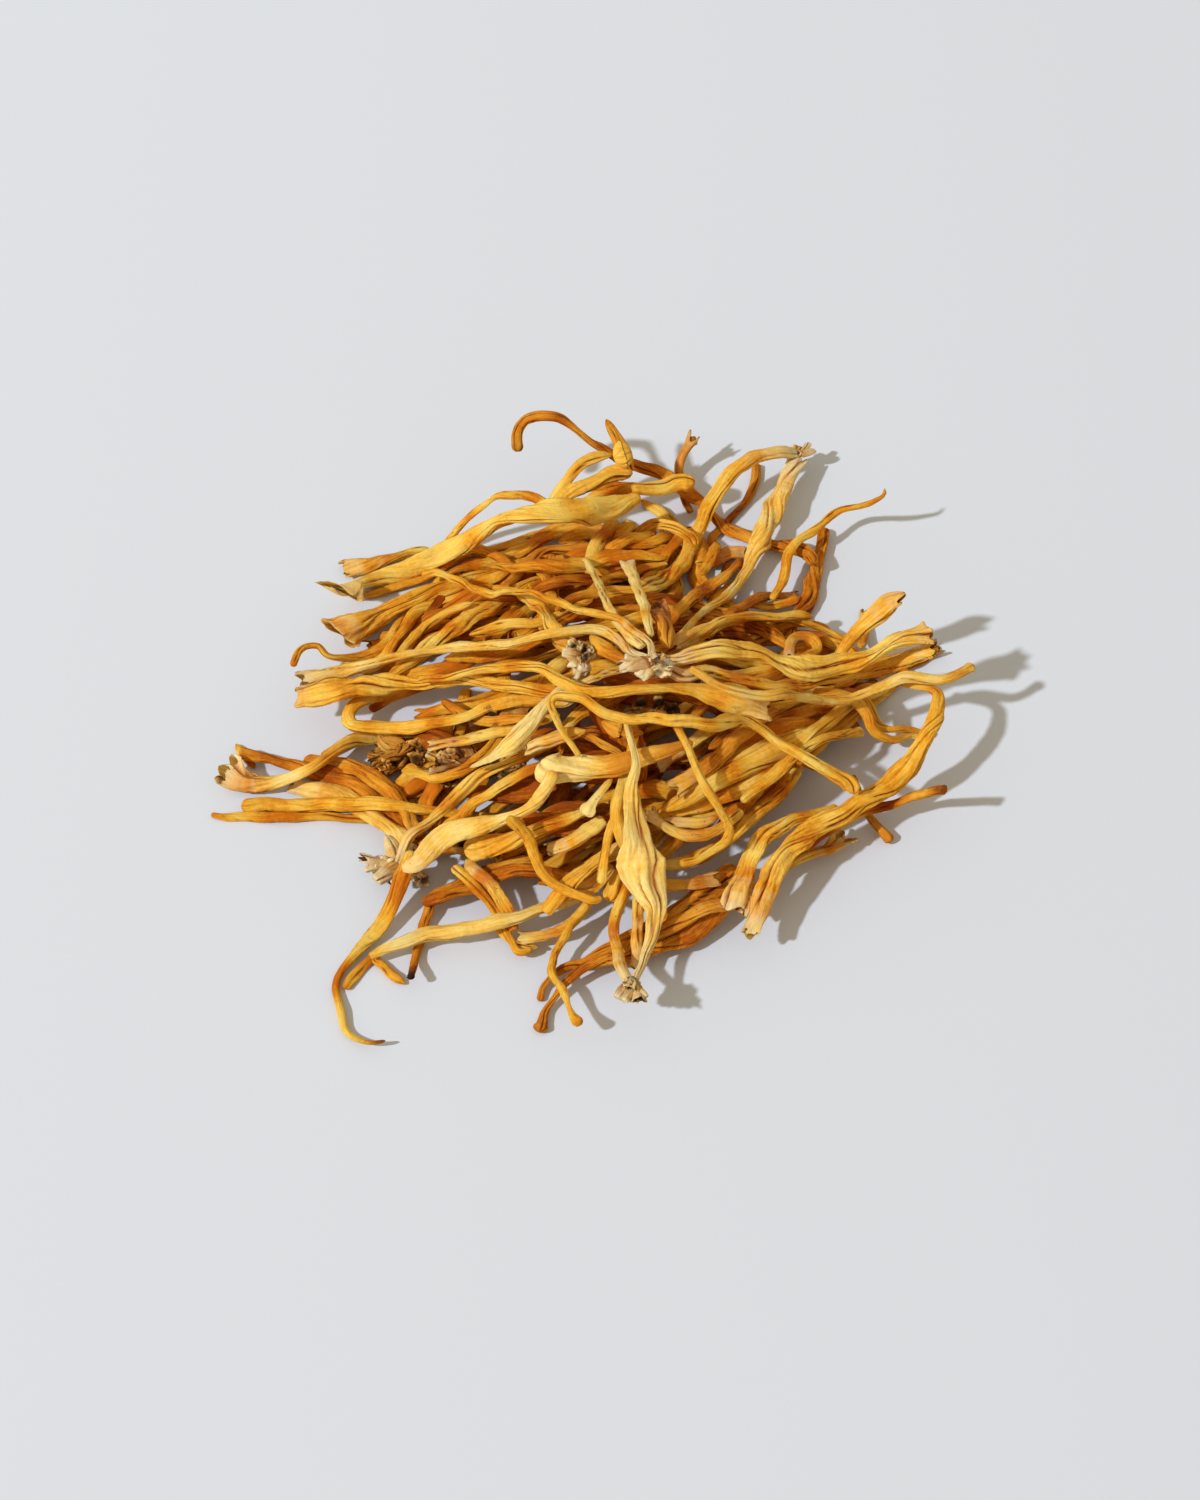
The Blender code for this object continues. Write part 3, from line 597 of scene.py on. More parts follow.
# small stalks between the traced ones: name, depth in the mound, skin, plan route and width in mm
smallStalks = [
    ("leaf_a", 0.55, "deep_orange", [(-14, -10, 3), (-8, -13, 5.5), (-1, -15, 5), (5, -14, 3)]),
    ("leaf_b", 0.5, "deep_orange", [(-10, -20, 3), (-5, -17, 5), (2, -19, 5.5), (8, -22, 3)]),
    ("leaf_c", 0.6, "deep_orange", [(-2, -8, 3), (3, -12, 5), (6, -18, 5), (7, -24, 3)]),
    ("leaf_d", 0.5, "deep_orange", [(-26, -20, 3), (-20, -22, 5.5), (-13, -22, 5), (-8, -20, 3)]),
    ("leaf_e", 0.25, "deep_orange", [(-30, -10, 2), (-26, -7, 3.5), (-19, -5.5, 3.5), (-12, -6, 2)]),
    ("leaf_f", 0.5, "deep_orange", [(-14, -28, 3), (-8, -30, 5), (-2, -31, 5), (4, -30, 3)]),
    ("leaf_g", 0.3, "deep_orange", [(-38, -2, 2), (-33, -5, 3.5), (-27, -9, 3.5), (-22, -12, 2)]),
    ("leaf_h", 0.65, "deep_orange", [(0, -2, 3), (6, -1, 5), (13, -3, 5.5), (20, -6, 3)]),
    ("left_far_tip", 0.1, "golden", [(-72, -19.3, 1), (-66.5, -19.8, 1.75), (-61, -19.8, 1.75),
        (-55.5, -19.8, 1.75), (-48, -18.5, 1.75), (-40, -19.5, 1.5)]),
    ("left_orange_branch", 0.35, "deep_orange", [(-56, -8.3, 2.25), (-49.5, -10.8, 2.5),
        (-43.5, -14.3, 2.75), (-39, -18.3, 2.75), (-35.5, -23.3, 2.5), (-33, -27.8, 2.25)]),
    ("left_pale_branch", 0.4, "pale_straw", [(-57.5, -12.3, 1.75), (-49, -14.3, 3.75),
        (-43.5, -17.8, 3.75), (-38.5, -23.3, 3), (-34, -28.8, 2.5)]),
    ("left_dark_end", 0.3, "deep_orange", [(-53.5, -8.3, 1.5), (-50.5, -4.8, 1.5), (-48, -2.3, 1.5),
        (-44.5, -0.3, 1.5), (-41.5, 0.2, 1.25)]),
    ("left_small_tip", 0.15, "golden", [(-68.5, -2.3, 1.5), (-67, -5.8, 1.5), (-64.5, -8.3, 1.25)]),
    ("front_brown", 0.5, "deep_orange", [(-31.5, -42.3, 1.75), (-27, -40.3, 2.25), (-22.5, -38.8, 2.25),
        (-17, -37.3, 2.25), (-10.5, -38.3, 2), (-3.5, -40.8, 1.5)]),
    ("front_left_spread", 0.5, "golden", [(-24.5, -35.3, 2.25), (-21.5, -38.8, 2.25), (-19, -42.3, 2.25),
        (-17, -45.8, 2), (-15, -48.8, 1.5)]),
    ("front_curled_end", 0.35, "golden", [(-18, -46.8, 1), (-16, -49.8, 1), (-14, -51.8, 1),
        (-12.5, -52.8, 1), (-11, -51.8, 1)]),
    ("front_short", 0.45, "golden", [(-15, -49.3, 1.5), (-10.5, -50.8, 1.75), (-6, -50.3, 1.75),
        (-3.5, -46.8, 1.75), (-1, -43.3, 1.5)]),
    ("front_fork_a", 0.15, "golden", [(-40.5, -51.8, 1.5), (-42.5, -55.3, 1.5), (-44, -57.8, 1.5),
        (-45.5, -59.3, 1.25)]),
    ("front_fork_b", 0.15, "golden", [(-42.5, -51.3, 1.5), (-40.5, -53.3, 1.5), (-39, -55.8, 1.5),
        (-36.5, -58.3, 1.5), (-34.5, -58.3, 1.25)]),
    ("front_yellow", 0.5, "golden", [(7.5, -33.3, 2.25), (2, -36.8, 3.25), (-2.5, -40.3, 3.25),
        (-6.5, -43.3, 2.75), (-10, -45.8, 1.75)]),
    ("front_orange_inner", 0.4, "deep_orange", [(24.5, -43.3, 1.75), (19, -45.8, 2.5), (13.5, -48.8, 2.5),
        (8.5, -51.8, 2.25), (2.5, -54.3, 2)]),
    ("front_dark_stub", 0.5, "deep_orange", [(21.5, -39.8, 1.75), (16.5, -41.3, 2.25), (11, -41.8, 2.25),
        (5.5, -42.8, 1.5)]),
    ("front_foot_twin", 0.65, "golden", [(7, -56.8, 1.5), (6.5, -53.3, 1.75), (6.5, -48.8, 1.75),
        (7, -44.8, 1.75), (8.5, -40.3, 1.5)]),
    ("left_upper_lobe", 0.6, "golden", [(-50, 42.2, 2.75), (-45, 43.7, 2.75), (-39.5, 46.2, 2.25),
        (-33.5, 48.2, 2)]),
    ("back_horn", 0.35, "deep_orange", [(1.5, 69.2, 1, 16), (2.5, 67, 1.75, 15.5), (4.5, 62.5, 2.5, 15),
        (6.5, 58.5, 2.5, 12)]),
    ("back_loop", 0.5, "golden", [(-9.5, 52.5, 1.6, 7), (-8.5, 54, 2, 11), (-6, 56.5, 2.2, 14),
        (-2.5, 60, 2.2, 15), (1, 62, 2.2, 15), (3.5, 61, 2.4, 14)]),
    ("back_bead", 0.5, "golden", [(3.2, 58.6, 3.4, 14.5), (4.6, 59.5, 4, 15), (6, 60.4, 3.2, 14.5)]),
    ("back_bend_low", 0.45, "golden", [(8.5, 64.7, 2.5), (3.5, 64.7, 2.75), (-0.5, 62.2, 2.5),
        (-4.5, 58.7, 2.25), (-7.5, 55.7, 1.75)]),
    ("upper_strand_a", 0.7, "golden", [(4, 53.7, 2), (-1.5, 52.7, 2.5), (-7.5, 50.7, 2.75),
        (-14.5, 47.7, 2.75), (-20.5, 44.2, 2.5), (-26.5, 41.2, 2.25), (-32.5, 38.2, 1.75)]),
    ("upper_strand_b", 0.75, "golden", [(-49, 23.7, 2.75), (-44.5, 24.7, 2.75), (-40.5, 27.2, 2.25),
        (-37, 31.2, 2), (-33, 34.2, 1.75)]),
    ("upper_strand_c", 0.72, "golden", [(-49, 18.7, 2.25), (-43, 17.7, 2.5), (-39.5, 18.7, 2.25),
        (-38, 23.7, 2.25), (-35.5, 30.2, 2.25), (-29, 35.2, 2.25), (-22, 37.2, 2.25),
        (-16.5, 38.7, 1.75)]),
    ("upper_strand_d", 0.8, "golden", [(-38, 15.7, 1.5), (-34.5, 22.7, 1.75), (-30, 26.2, 1.75),
        (-24, 25.7, 1.5)]),
    ("upper_strand_e", 0.85, "golden", [(-24.5, 14.2, 1.5), (-18.5, 14.7, 1.75), (-13, 13.7, 1.75),
        (-7.5, 17.2, 1.75), (-1, 18.7, 1.5)]),
    ("upper_strand_f", 0.8, "deep_orange", [(0.5, 44.2, 1.75), (-5.5, 45.2, 2), (-10.5, 43.2, 2),
        (-15.5, 37.2, 2), (-18, 31.2, 1.5)]),
    ("upper_strand_g", 0.8, "golden", [(2.5, 33.2, 1.5), (-3.5, 36.7, 1.75), (-9.5, 35.7, 1.75),
        (-13.5, 30.7, 1.5)]),
    ("upper_strand_h", 0.85, "deep_orange", [(8, 23.7, 1.5), (2, 24.7, 1.75), (-3.5, 20.2, 1.75),
        (-8, 15.2, 1.5)]),
    ("middle_ribbed", 0.95, "deep_orange", [(-1.5, 1.7, 2.25), (0.5, -2.8, 2.5), (4, -5.8, 2.5),
        (7, -7.3, 2.25)]),
    ("middle_sheet", 0.85, "golden", [(-4.5, -7.8, 1.25), (-1.5, -5.8, 1.5), (2, -4.8, 1.5),
        (7, -4.3, 1.25)]),
    ("under_thick_right", 0.8, "deep_orange", [(65.5, 21.7, 2.25), (61, 19.2, 3), (56.5, 16.2, 3.5),
        (51, 11.7, 3.25), (44, 3.2, 2.25)]),
    ("right_spread_a", 0.85, "golden", [(13.5, 3.2, 1.5), (18.5, 8.2, 1.75), (23, 14.2, 2),
        (29, 19.7, 1.75), (35.5, 22.2, 1.75), (41, 24.2, 1.75)]),
    ("back_slip_a", 0.4, "deep_orange", [(32, 71.7, 1.5), (32, 66.7, 1.5), (30, 61.2, 1.5),
        (27, 57.2, 1.5), (23.5, 53.2, 1.5), (20.5, 49.2, 1.5)]),
    ("back_slip_b", 0.35, "deep_orange", [(19, 71.5, 2, 8.5), (17, 71, 1.5, 7), (15.5, 68.5, 1.5, 5.5),
        (15, 65.5, 1.5, 3.7), (16, 62, 1.5, 2.5), (18.5, 58.2, 1.25)]),
    ("back_short_a", 0.55, "golden", [(5, 56.2, 1.75), (8, 50.7, 2.25), (10, 46.7, 2.25), (12.5, 41.7, 2),
        (14, 35.2, 1.5)]),
    ("back_short_b", 0.6, "golden", [(29, 47.2, 2), (25, 47.7, 2.75), (21.5, 45.7, 2.75),
        (18.5, 41.7, 2.25)]),
    ("back_short_c", 0.6, "deep_orange", [(27, 45.7, 2), (25.5, 38.7, 2.25), (22, 33.2, 2.25),
        (18.5, 26.7, 2.25), (15, 20.2, 2), (12, 14.2, 1.75)]),
    ("back_short_d", 0.65, "golden", [(8.5, 61.7, 1.75), (12.5, 58.2, 2), (16, 53.2, 2),
        (18, 48.2, 1.75)]),
    ("middle_lump", 0.9, "deep_orange", [(10.5, 15.2, 2.25), (12, 9.7, 3.25), (13, 4.2, 3.25),
        (13, -0.3, 2.25)]),
    ("right_low_b", 0.6, "deep_orange", [(40, 35.2, 1.5), (36.5, 35.2, 2), (32.5, 32.2, 2),
        (28.5, 27.7, 2), (23.5, 20.2, 1.5)]),
    ("right_ring", 0.7, "golden", [(36, 10.7, 1.5), (35.5, 16.2, 1.75), (38.5, 20.7, 1.75),
        (42, 21.2, 1.75), (43.5, 17.2, 1.75), (40.5, 12.2, 1.75), (37.5, 10.7, 1.5)]),
    ("right_stub_b", 0.65, "golden", [(52.5, 31.2, 1.5), (51.5, 26.2, 1.75), (49.5, 18.7, 1.5)]),
    ("right_curl_small", 0.6, "golden", [(63.5, 19.7, 0.75), (63, 16.7, 0.75), (60.5, 16.2, 0.75),
        (57, 16.7, 0.75)]),
    ("right_knobby_low", 0.6, "pale_straw", [(50, -2.8, 1.75), (46.5, -5.3, 1.5), (42.5, -7.3, 1.5),
        (38.5, -7.8, 1.5), (31.5, -13.3, 1.25)]),
    ("right_gold_loop", 0.7, "golden", [(37.5, 1.7, 1.75), (44.5, 3.7, 2.25), (49.5, 3.2, 2.5),
        (51, 0.2, 2.25), (52, -3.8, 1.75), (55, -3.8, 1.5), (58, -1.8, 1.25), (61, -1.3, 1.25)]),
    ("fan_dark_b", 0.55, "deep_orange", [(53.5, 9.7, 2), (47.5, 4.7, 2.75), (40.5, -0.8, 2.5),
        (33.5, -7.3, 2.5), (27, -11.8, 2.5), (21, -15.8, 1.75)]),
    ("fan_dark_c", 0.55, "deep_orange", [(32, -9.3, 1.75), (26, -12.8, 2.25), (21, -17.8, 2.25),
        (16.5, -21.8, 2.25), (12.5, -26.8, 1.75)]),
    ("fan_gold_b", 0.6, "golden", [(33, -17.8, 1.75), (27, -21.8, 2.75), (20.5, -25.3, 3),
        (15.5, -27.8, 2.75), (11.5, -29.8, 2.5)]),
    ("fan_gold_c", 0.5, "golden", [(30, -21.3, 1.5), (22, -26.3, 1.75), (17.5, -28.8, 1.75),
        (13.5, -30.8, 1.75)]),
    ("fan_outer_b", 0.5, "golden", [(37, -15.3, 1.75), (32.5, -22.3, 2.5), (27, -28.3, 2.5),
        (22.5, -33.3, 2.25), (17, -36.8, 1.75)]),
    ("fan_arc_low", 0.65, "golden", [(10, -30.3, 1.75), (11.5, -33.3, 1.75), (15, -35.3, 2),
        (19, -34.8, 2), (23, -31.8, 1.75), (26, -28.3, 1.5)]),
    ("fan_arc_low_b", 0.6, "golden", [(12.5, -30.8, 1.5), (15.5, -32.3, 1.75), (19, -31.8, 1.75),
        (22, -29.3, 1.5)]),
    ("front_drop", 0.75, "golden", [(4, -31.8, 1.25), (1.5, -32.3, 1.5), (0.5, -33.8, 1.5),
        (1, -36.8, 1.5), (2, -39.3, 1.5), (1.5, -41.3, 1.5), (0.5, -43.8, 1.25)]),
    ("front_drop_b", 0.55, "golden", [(6, -38.8, 1.5), (3.5, -41.3, 2), (2, -43.3, 2.25),
        (2.5, -45.3, 2.25)]),
    ("front_round_head", 0.75, "pale_straw", [(-2.5, -32.3, 2.5), (-1, -30.3, 1.5), (0.5, -28.3, 1.25),
        (2.5, -25.8, 1)]),
    ("front_cross", 0.6, "golden", [(-9, -35.8, 1.75), (-5, -35.8, 2.5), (-1.5, -34.3, 2.75),
        (1, -31.3, 2)]),
    ("inner_a", 0.8, "golden", [(-13.5, -18.8, 1.75), (-9.5, -17.8, 2.25), (-6, -17.8, 2.25),
        (-2.5, -17.8, 1.75)]),
    ("inner_b", 0.78, "deep_orange", [(-4.5, -16.8, 1.25), (-1.5, -18.8, 1.25), (2, -21.3, 1.25),
        (5, -22.8, 1)]),
    ("inner_c", 0.8, "deep_orange", [(0.5, -15.8, 2.25), (4, -17.8, 2.75), (8, -18.3, 2.25)]),
    ("inner_d", 0.6, "deep_orange", [(-29.5, 0.7, 1.75), (-24, -5.3, 1.75), (-17.5, -8.8, 1.75),
        (-10, -9.8, 1.75)]),
    ("inner_e", 0.55, "golden", [(-31.5, -9.3, 1.75), (-25.5, -10.3, 2), (-19, -11.3, 2),
        (-12.5, -9.3, 1.75), (-7, -7.8, 1.5)]),
    ("under_left_a", 0.3, "golden", [(-7.5, 52.7, 1.5), (-15.5, 49.7, 1.5), (-22.5, 47.7, 1.5),
        (-29.5, 45.2, 1.5), (-34, 41.2, 1.5)]),
    ("fan_dark", 0.45, "golden", [(10.5, -17.3, 2), (24, -7.3, 3), (38, 2.7, 3), (53, 11.7, 2.5)]),
    ("right_spur", 0.3, "deep_orange", [(54, -26.3, 2), (51.5, -24.3, 1.5), (50, -22.3, 1.5),
        (49, -20.3, 1.5), (48.5, -16.3, 1.5), (47, -12.3, 1.5)]),
    ("back_dark_curl", 0.5, "deep_orange", [(26.5, 45.7, 2), (24.5, 36.7, 2), (19.5, 30.7, 1.5),
        (11, 17.7, 1.5)]),
    ("right_low", 0.5, "golden", [(40, 31.7, 1.5), (29.5, 30.7, 2), (20, 19.7, 2), (10, 9.7, 1.5)]),
    ("left_under", 0.5, "golden", [(-45, 37.7, 1.5), (-33.5, 41.7, 2), (-24.5, 47.7, 2),
        (-16, 38.7, 1.5)]),
    ("middle_stack", 0.6, "golden", [(-16.5, 30.7, 2.5), (-7.5, 37.7, 2.5), (3, 41.7, 2.5),
        (10.5, 53.7, 2)]),
    ("cup_ring", 0.55, "golden", [(-36, -13.3, 2.5), (-27.5, -19.3, 2), (-22.5, -16.3, 2),
        (-18, -10.3, 1.5)]),
    ("left_foot_inner", 0.6, "golden", [(-31, -33.3, 1.5), (-26, -26.3, 2), (-18.5, -23.3, 2),
        (-9.5, -19.3, 2)]),
    ("fan_inner", 0.7, "deep_orange", [(14, -27.3, 2.5), (21, -21.3, 2.5), (26.5, -12.3, 2.5),
        (33, -5.3, 2)]),
    ("back_small_bend", 0.3, "golden", [(1.5, 59.7, 2), (-4.5, 60.7, 2.5), (-8, 59.7, 2),
        (-10, 54.7, 1.5)]),
    ("front_inner", 0.8, "golden", [(6.5, -16.3, 1.5), (4, -27.3, 2), (2.5, -34.3, 2), (6.5, -39.3, 2)]),
    ("upright_thin", 0.95, "pale_straw", [(-3, 38.7, 1), (0, 24.7, 1.5), (2.5, 8.7, 1.5), (8, -3.3, 1.5)]),
]


def heightRoute(layer, route):
    # plan points, with a height where it isn't the mound's, become x, y, z, half width and half thickness
    rows = []
    for x, y, width, *lift in route:
        thick = min(width, 0.7 + 0.55 * width)
        high = lift[0] if lift else layer * moundHeight(x, y)
        rows.append([x, y, max(thick / 2, high), width * 0.58, thick / 2])
    return rows


# stalks inside the mound, laid by rule in five beds; all stay within the outline
outline = [(-44, -10), (-32, -29), (-10, -37), (10, -37), (23, -31), (40, -8), (56, 10), (50, 24), (32, 32),
           (24, 52), (2, 55), (-30, 42), (-46, 22)]
beds = [
    dict(x=(-42, 4), y=(4, 42), count=26, heading=0.36, spread=0.2, layer=(0.02, 0.6), length=(34, 58)),
    dict(x=(-34, 10), y=(-34, -2), count=24, heading=0.6, spread=0.35, layer=(0.02, 0.3), length=(26, 48)),
    dict(x=(8, 46), y=(-32, 8), count=22, heading=0.72, spread=0.18, layer=(0.02, 0.6), length=(34, 56)),
    dict(x=(4, 50), y=(2, 28), count=14, heading=0.1, spread=0.4, layer=(0.05, 0.55), length=(30, 50)),
    dict(x=(-14, 24), y=(22, 54), count=20, heading=0.95, spread=0.5, layer=(0.2, 0.95), length=(22, 42)),
]


def inOutline(x, y):
    crossed = False
    for (ax, ay), (bx, by) in zip(outline, outline[1:] + outline[:1]):
        if (ay > y) != (by > y) and x < ax + (y - ay) * (bx - ax) / (by - ay):
            crossed = not crossed
    return crossed


def bedRoutes():
    dice = random.Random(41)
    routes = []
    for bed in beds:
        for i in range(bed["count"]):
            x, y = dice.uniform(*bed["x"]), dice.uniform(*bed["y"])
            heading = dice.gauss(bed["heading"], bed["spread"])
            length, layer = dice.uniform(*bed["length"]), dice.uniform(*bed["layer"])
            width, bend = dice.uniform(1.7, 3.4), dice.gauss(0, 0.012)
            rows = []
            for k in range(11):
                run = (k / 10 - 0.5) * length
                turn = heading + bend * run + 0.2 * math.sin(run / 7 + i)
                taper = 1 - 0.5 * abs(k / 5 - 1) ** 3
                rows.append((x + run * math.cos(turn), y + run * math.sin(turn), width * taper))
            rows = [row for row in rows if inOutline(row[0], row[1])]
            if len(rows) > 4:
                routes.append(heightRoute(layer, rows))
    return routes


def spaced(rows, spacing):
    rows = np.asarray(rows, float)
    run = np.concatenate([[0.0], np.cumsum(np.linalg.norm(np.diff(rows[:, :3], axis=0), axis=1))])
    at = np.linspace(0, run[-1], max(4, round(run[-1] / spacing) + 1))
    return np.array([np.interp(at, run, column) for column in rows.T]).T


def makeTree(spots):
    tree = KDTree(len(spots))
    for i, spot in enumerate(spots):
        tree.insert(spot, i)
    tree.balance()
    return tree


# mm: the air left between stalks and the most that one round moves them; the share of a bend taken out
settling = {"air": 0.05, "step": 0.6, "smoothing": 0.12}


def settle(loose, fixed, rounds=30, spacing=1.8):
    # stalks that run through each other are pushed apart, a little at a time, and kept smooth
    loose = [spaced(smoothRows(rows, 0.8)[0], spacing) for rows in loose]
    still = np.vstack([spaced(rows, 1.5) for rows in fixed])
    stillHalf = (still[:, 3] + still[:, 4]) / 2
    owner = np.concatenate([[i] * len(rows) for i, rows in enumerate(loose)])
    cuts = np.cumsum([len(rows) for rows in loose])[:-1]
    body = np.vstack(loose)
    half = (body[:, 3] + body[:, 4]) / 2
    spots = body[:, :3].copy()
    stillTree = makeTree(still[:, :3])
    for _ in range(rounds):
        push = np.zeros_like(spots)
        looseTree = makeTree(spots)
        for k, spot in enumerate(spots):
            for place, i, apart in stillTree.find_range(spot, half[k] + stillHalf.max()):
                overlap = half[k] + stillHalf[i] + settling["air"] - apart
                if overlap > 0:
                    push[k] += (spot - place) * (0.5 * overlap / (apart + 1e-6))
            for place, i, apart in looseTree.find_range(spot, half[k] + half.max()):
                overlap = half[k] + half[i] + settling["air"] - apart
                if overlap > 0 and owner[i] != owner[k]:
                    push[k] += (spot - place) * (0.25 * overlap / (apart + 1e-6))
        size = np.linalg.norm(push, axis=1)[:, None] + 1e-9
        push *= np.minimum(1, settling["step"] / size)
        moved = []
        for rows, shift in zip(np.split(spots, cuts), np.split(push, cuts)):
            for _ in range(3):
                shift[1:-1] = (shift[:-2] + 2 * shift[1:-1] + shift[2:]) / 4
            rows = rows + shift
            rows[1:-1] += settling["smoothing"] * (rows[:-2] + rows[2:] - 2 * rows[1:-1])
            moved.append(rows)
        spots = np.vstack(moved)
        spots[:, 2] = np.maximum(spots[:, 2], body[:, 4])
    body[:, :3] = spots
    return np.split(body, cuts)


print("settling the small and inner stalks")
smallRoutes = [heightRoute(layer, route) for _, layer, _, route in smallStalks]
innerRoutes = bedRoutes()
settled = settle(smallRoutes + innerRoutes, list(stalkRoutes.values()))
# the leaves are brown pieces inside the tangle, painted darker still as painted shade of the interior
leafLook = dict(flat=0.6, tone=-0.9, start="point", end="cut", startPale=0)
smallLooks = {"leaf_" + letter: leafLook for letter in "abcdefgh"}
smallLooks.update({
    "back_bead": dict(start="head", end="head", flat=0.0, grooves=1, tone=0.4),
    "back_loop": dict(grooves=2), "left_far_tip": dict(start="round"), "back_horn": dict(start="point"),
    "front_round_head": dict(start="head", velvet=0.01), "left_upper_lobe": dict(start="cup"),
    "under_thick_right": dict(start="cup"), "back_slip_b": dict(start="cup"),
    "upright_thin": dict(start="point"), "front_drop": dict(end="club"), "front_drop_b": dict(end="club"),
    "fan_gold_b": dict(end="round"), "front_foot_twin": dict(start="cup"),
    "right_knobby_low": dict(start="head", kink=0.3), "back_short_b": dict(start="cup"),
})

groups = {}
for i, rows in enumerate(settled):
    small = i < len(smallStalks)
    name = smallStalks[i][0] if small else "inner_%d" % (i - len(smallStalks))
    dice = random.Random(name + "look")
    slot = smallStalks[i][2] if small else dice.choice(("golden", "golden", "deep_orange"))
    # painted shade: the inner stalks deep in the mound are painted 0.35 darker in tone, as shade inside the
    # tangle
    look = dict(plainLook, twist=dice.uniform(-1.6, 1.6), grooves=dice.choice((2, 3, 3)), flat=0.45,
                tone=dice.uniform(-0.35, 0.35) - (0 if small else 0.35) + paintedHeightLight * (rows[:, 2].mean() - 9),
                start=dice.choice(("point", "round", "cup")), end=dice.choice(("point", "cut", "point")),
                pale=0.5 if small else 0.0)
    look.update(smallLooks.get(name, {}))
    piece = buildStalk(name, rows, look, slot, 0.85 if small else 0.6)
    groups.setdefault(("small" if small else "inner", slot), []).append(piece)
bundle = 12
for (kind, slot), pieces in groups.items():
    for k in range(0, len(pieces), bundle):
        joined = joinAll(pieces[k:k + bundle])
        joined.name = "%s_stalks_%s_%d" % (kind, slot, k // bundle + 1)
        finishPiece(joined, slot)


# ---------------------------------------------------------------- feet
# open: the bearing, in degrees, that the torn bases face, and fan, how far they spread from it;
# grain: the bearing of the fibres; shift and stretch place the ragged foot about its plain CAD lump
# dark: how dark the hollows are painted, as painted shade
plainFoot = dict(lobes=6, size=(0.9, 1.6), hollows=3, hollow=(0.5, 0.95), stubs=3, half=(0.9, 1.5), fan=70,
                 root=0.5, dark=0.9, shift=(0, 0, 0), stretch=(1, 1, 1), slot="foot_grey", ragged=0.55)
feet = {
    "left_foot": dict(lobes=10, hollows=6, hollow=(0.7, 1.5), stubs=5, open=190, fan=90, grain=60,
                      root=0.9, shift=(0.9, 0.3, 1.2), stretch=(1.35, 1.3, 1.3), seed=4),
    "front_foot": dict(lobes=6, stubs=4, open=265, grain=80, seed=9, half=(0.8, 1.3)),
    "middle_foot": dict(lobes=8, hollows=3, stubs=5, open=215, fan=55, grain=25, root=0.65, dark=0.7,
                        stretch=(1.4, 1.15, 0.9), half=(1.0, 1.7), seed=12),
    "back_foot": dict(lobes=4, size=(0.7, 1.2), hollows=1, open=60, grain=60, half=(0.5, 0.9), seed=15),
    "cup_foot": dict(lobes=8, hollows=7, hollow=(0.8, 1.6), open=170, grain=10, root=0.0,
                     stretch=(1.4, 1.2, 1), slot="husk_brown", seed=21),
    "inner_foot": dict(lobes=5, size=(0.8, 1.3), open=240, grain=70, seed=27),
}
# ragged broken bases inside the tangle: middle and half size in mm, besides the keys above
husks = {
    "curled_husk": dict(middle=(-22.0, -13.5, 8.0), reach=(9.5, 4.2, 2.8), lobes=12, size=(1.3, 2.3),
                        hollows=5, hollow=(1.3, 2.4), open=160, grain=165, root=0.35, seed=31),
    "dark_husk": dict(middle=(-36.0, -7.5, 6.5), reach=(4.2, 2.6, 2.0), hollows=8, hollow=(0.8, 1.5),
                      open=200, grain=20, root=0.0, seed=33),
    "front_husk": dict(middle=(-19.5, -31.5, 7.0), reach=(6.5, 3.2, 2.4), lobes=9, hollows=5,
                       hollow=(0.9, 1.8), open=190, grain=30, root=0.25, seed=37),
    "inner_husk": dict(middle=(-17.5, -6.5, 12.5), reach=(4.5, 3.0, 2.0), hollows=6, hollow=(1.1, 1.9),
                       open=30, grain=20, root=0.0, seed=41),
    "under_husk": dict(middle=(10.5, -7.0, 16.0), reach=(5.0, 2.4, 2.0), hollows=6, hollow=(0.8, 1.5),
                       open=250, grain=10, root=0.4, seed=43),
    "bead_husk": dict(middle=(-4.5, -27.0, 8.5), reach=(5.5, 3.0, 2.2), hollows=5, hollow=(0.8, 1.5),
                      open=220, grain=40, root=0.2, seed=47),
}
# mm: the size of the cells in which a foot's lobes are made one skin
voxel = 0.22


def lobeMass(name, facts, middle, reach, dice):
    # overlapping lobes, made one skin
    bpy.ops.object.select_all(action="DESELECT")
    lobes = []
    for _ in range(facts["lobes"]):
        radius = dice.uniform(*facts["size"])
        room = np.maximum(reach - radius, 0.1)
        spot = middle + np.array([dice.uniform(-1, 1) for _ in range(3)]) * room
        bpy.ops.mesh.primitive_ico_sphere_add(subdivisions=3, radius=radius * mm, location=spot * mm)
        lobe = bpy.context.object
        lobe.scale = [dice.uniform(0.7, 1.5) for _ in range(3)]
        lobe.rotation_euler.z = math.radians(facts["grain"])
        lobes.append(lobe)
    for lobe in lobes:
        lobe.select_set(True)
    bpy.ops.object.join()
    mass = bpy.context.object
    mass.name = name + "_skin"
    bpy.ops.object.transform_apply(location=True, rotation=True, scale=True)
    remesh = mass.modifiers.new("join", "REMESH")
    remesh.mode = "VOXEL"
    remesh.voxel_size = voxel * mm
    bpy.ops.object.modifier_apply(modifier=remesh.name)
    return mass


def readVectors(mesh, field):
    values = np.zeros(len(mesh.vertices) * 3)
    mesh.vertices.foreach_get(field, values)
    return values.reshape(-1, 3)


def layFibres(mesh, spots, middle, grain):
    # the UV turns once round the grain and runs along it in centimetres, as on a stalk
    across = np.array([-grain[1], grain[0], 0])
    turn = np.arctan2(spots[:, 2] - middle[2], (spots - middle) @ across) / (2 * math.pi)
    corners = np.zeros(len(mesh.loops), int)
    mesh.loops.foreach_get("vertex_index", corners)
    u = turn[corners].reshape(-1, 4)
    u -= np.round(u - u[:, :1])
    along = ((spots - middle) @ grain)[corners] / 10
    uv = np.stack([u.ravel(), along], 1).astype(np.float32)
    mesh.uv_layers.new(name="UVMap").data.foreach_set("uv", uv.ravel())


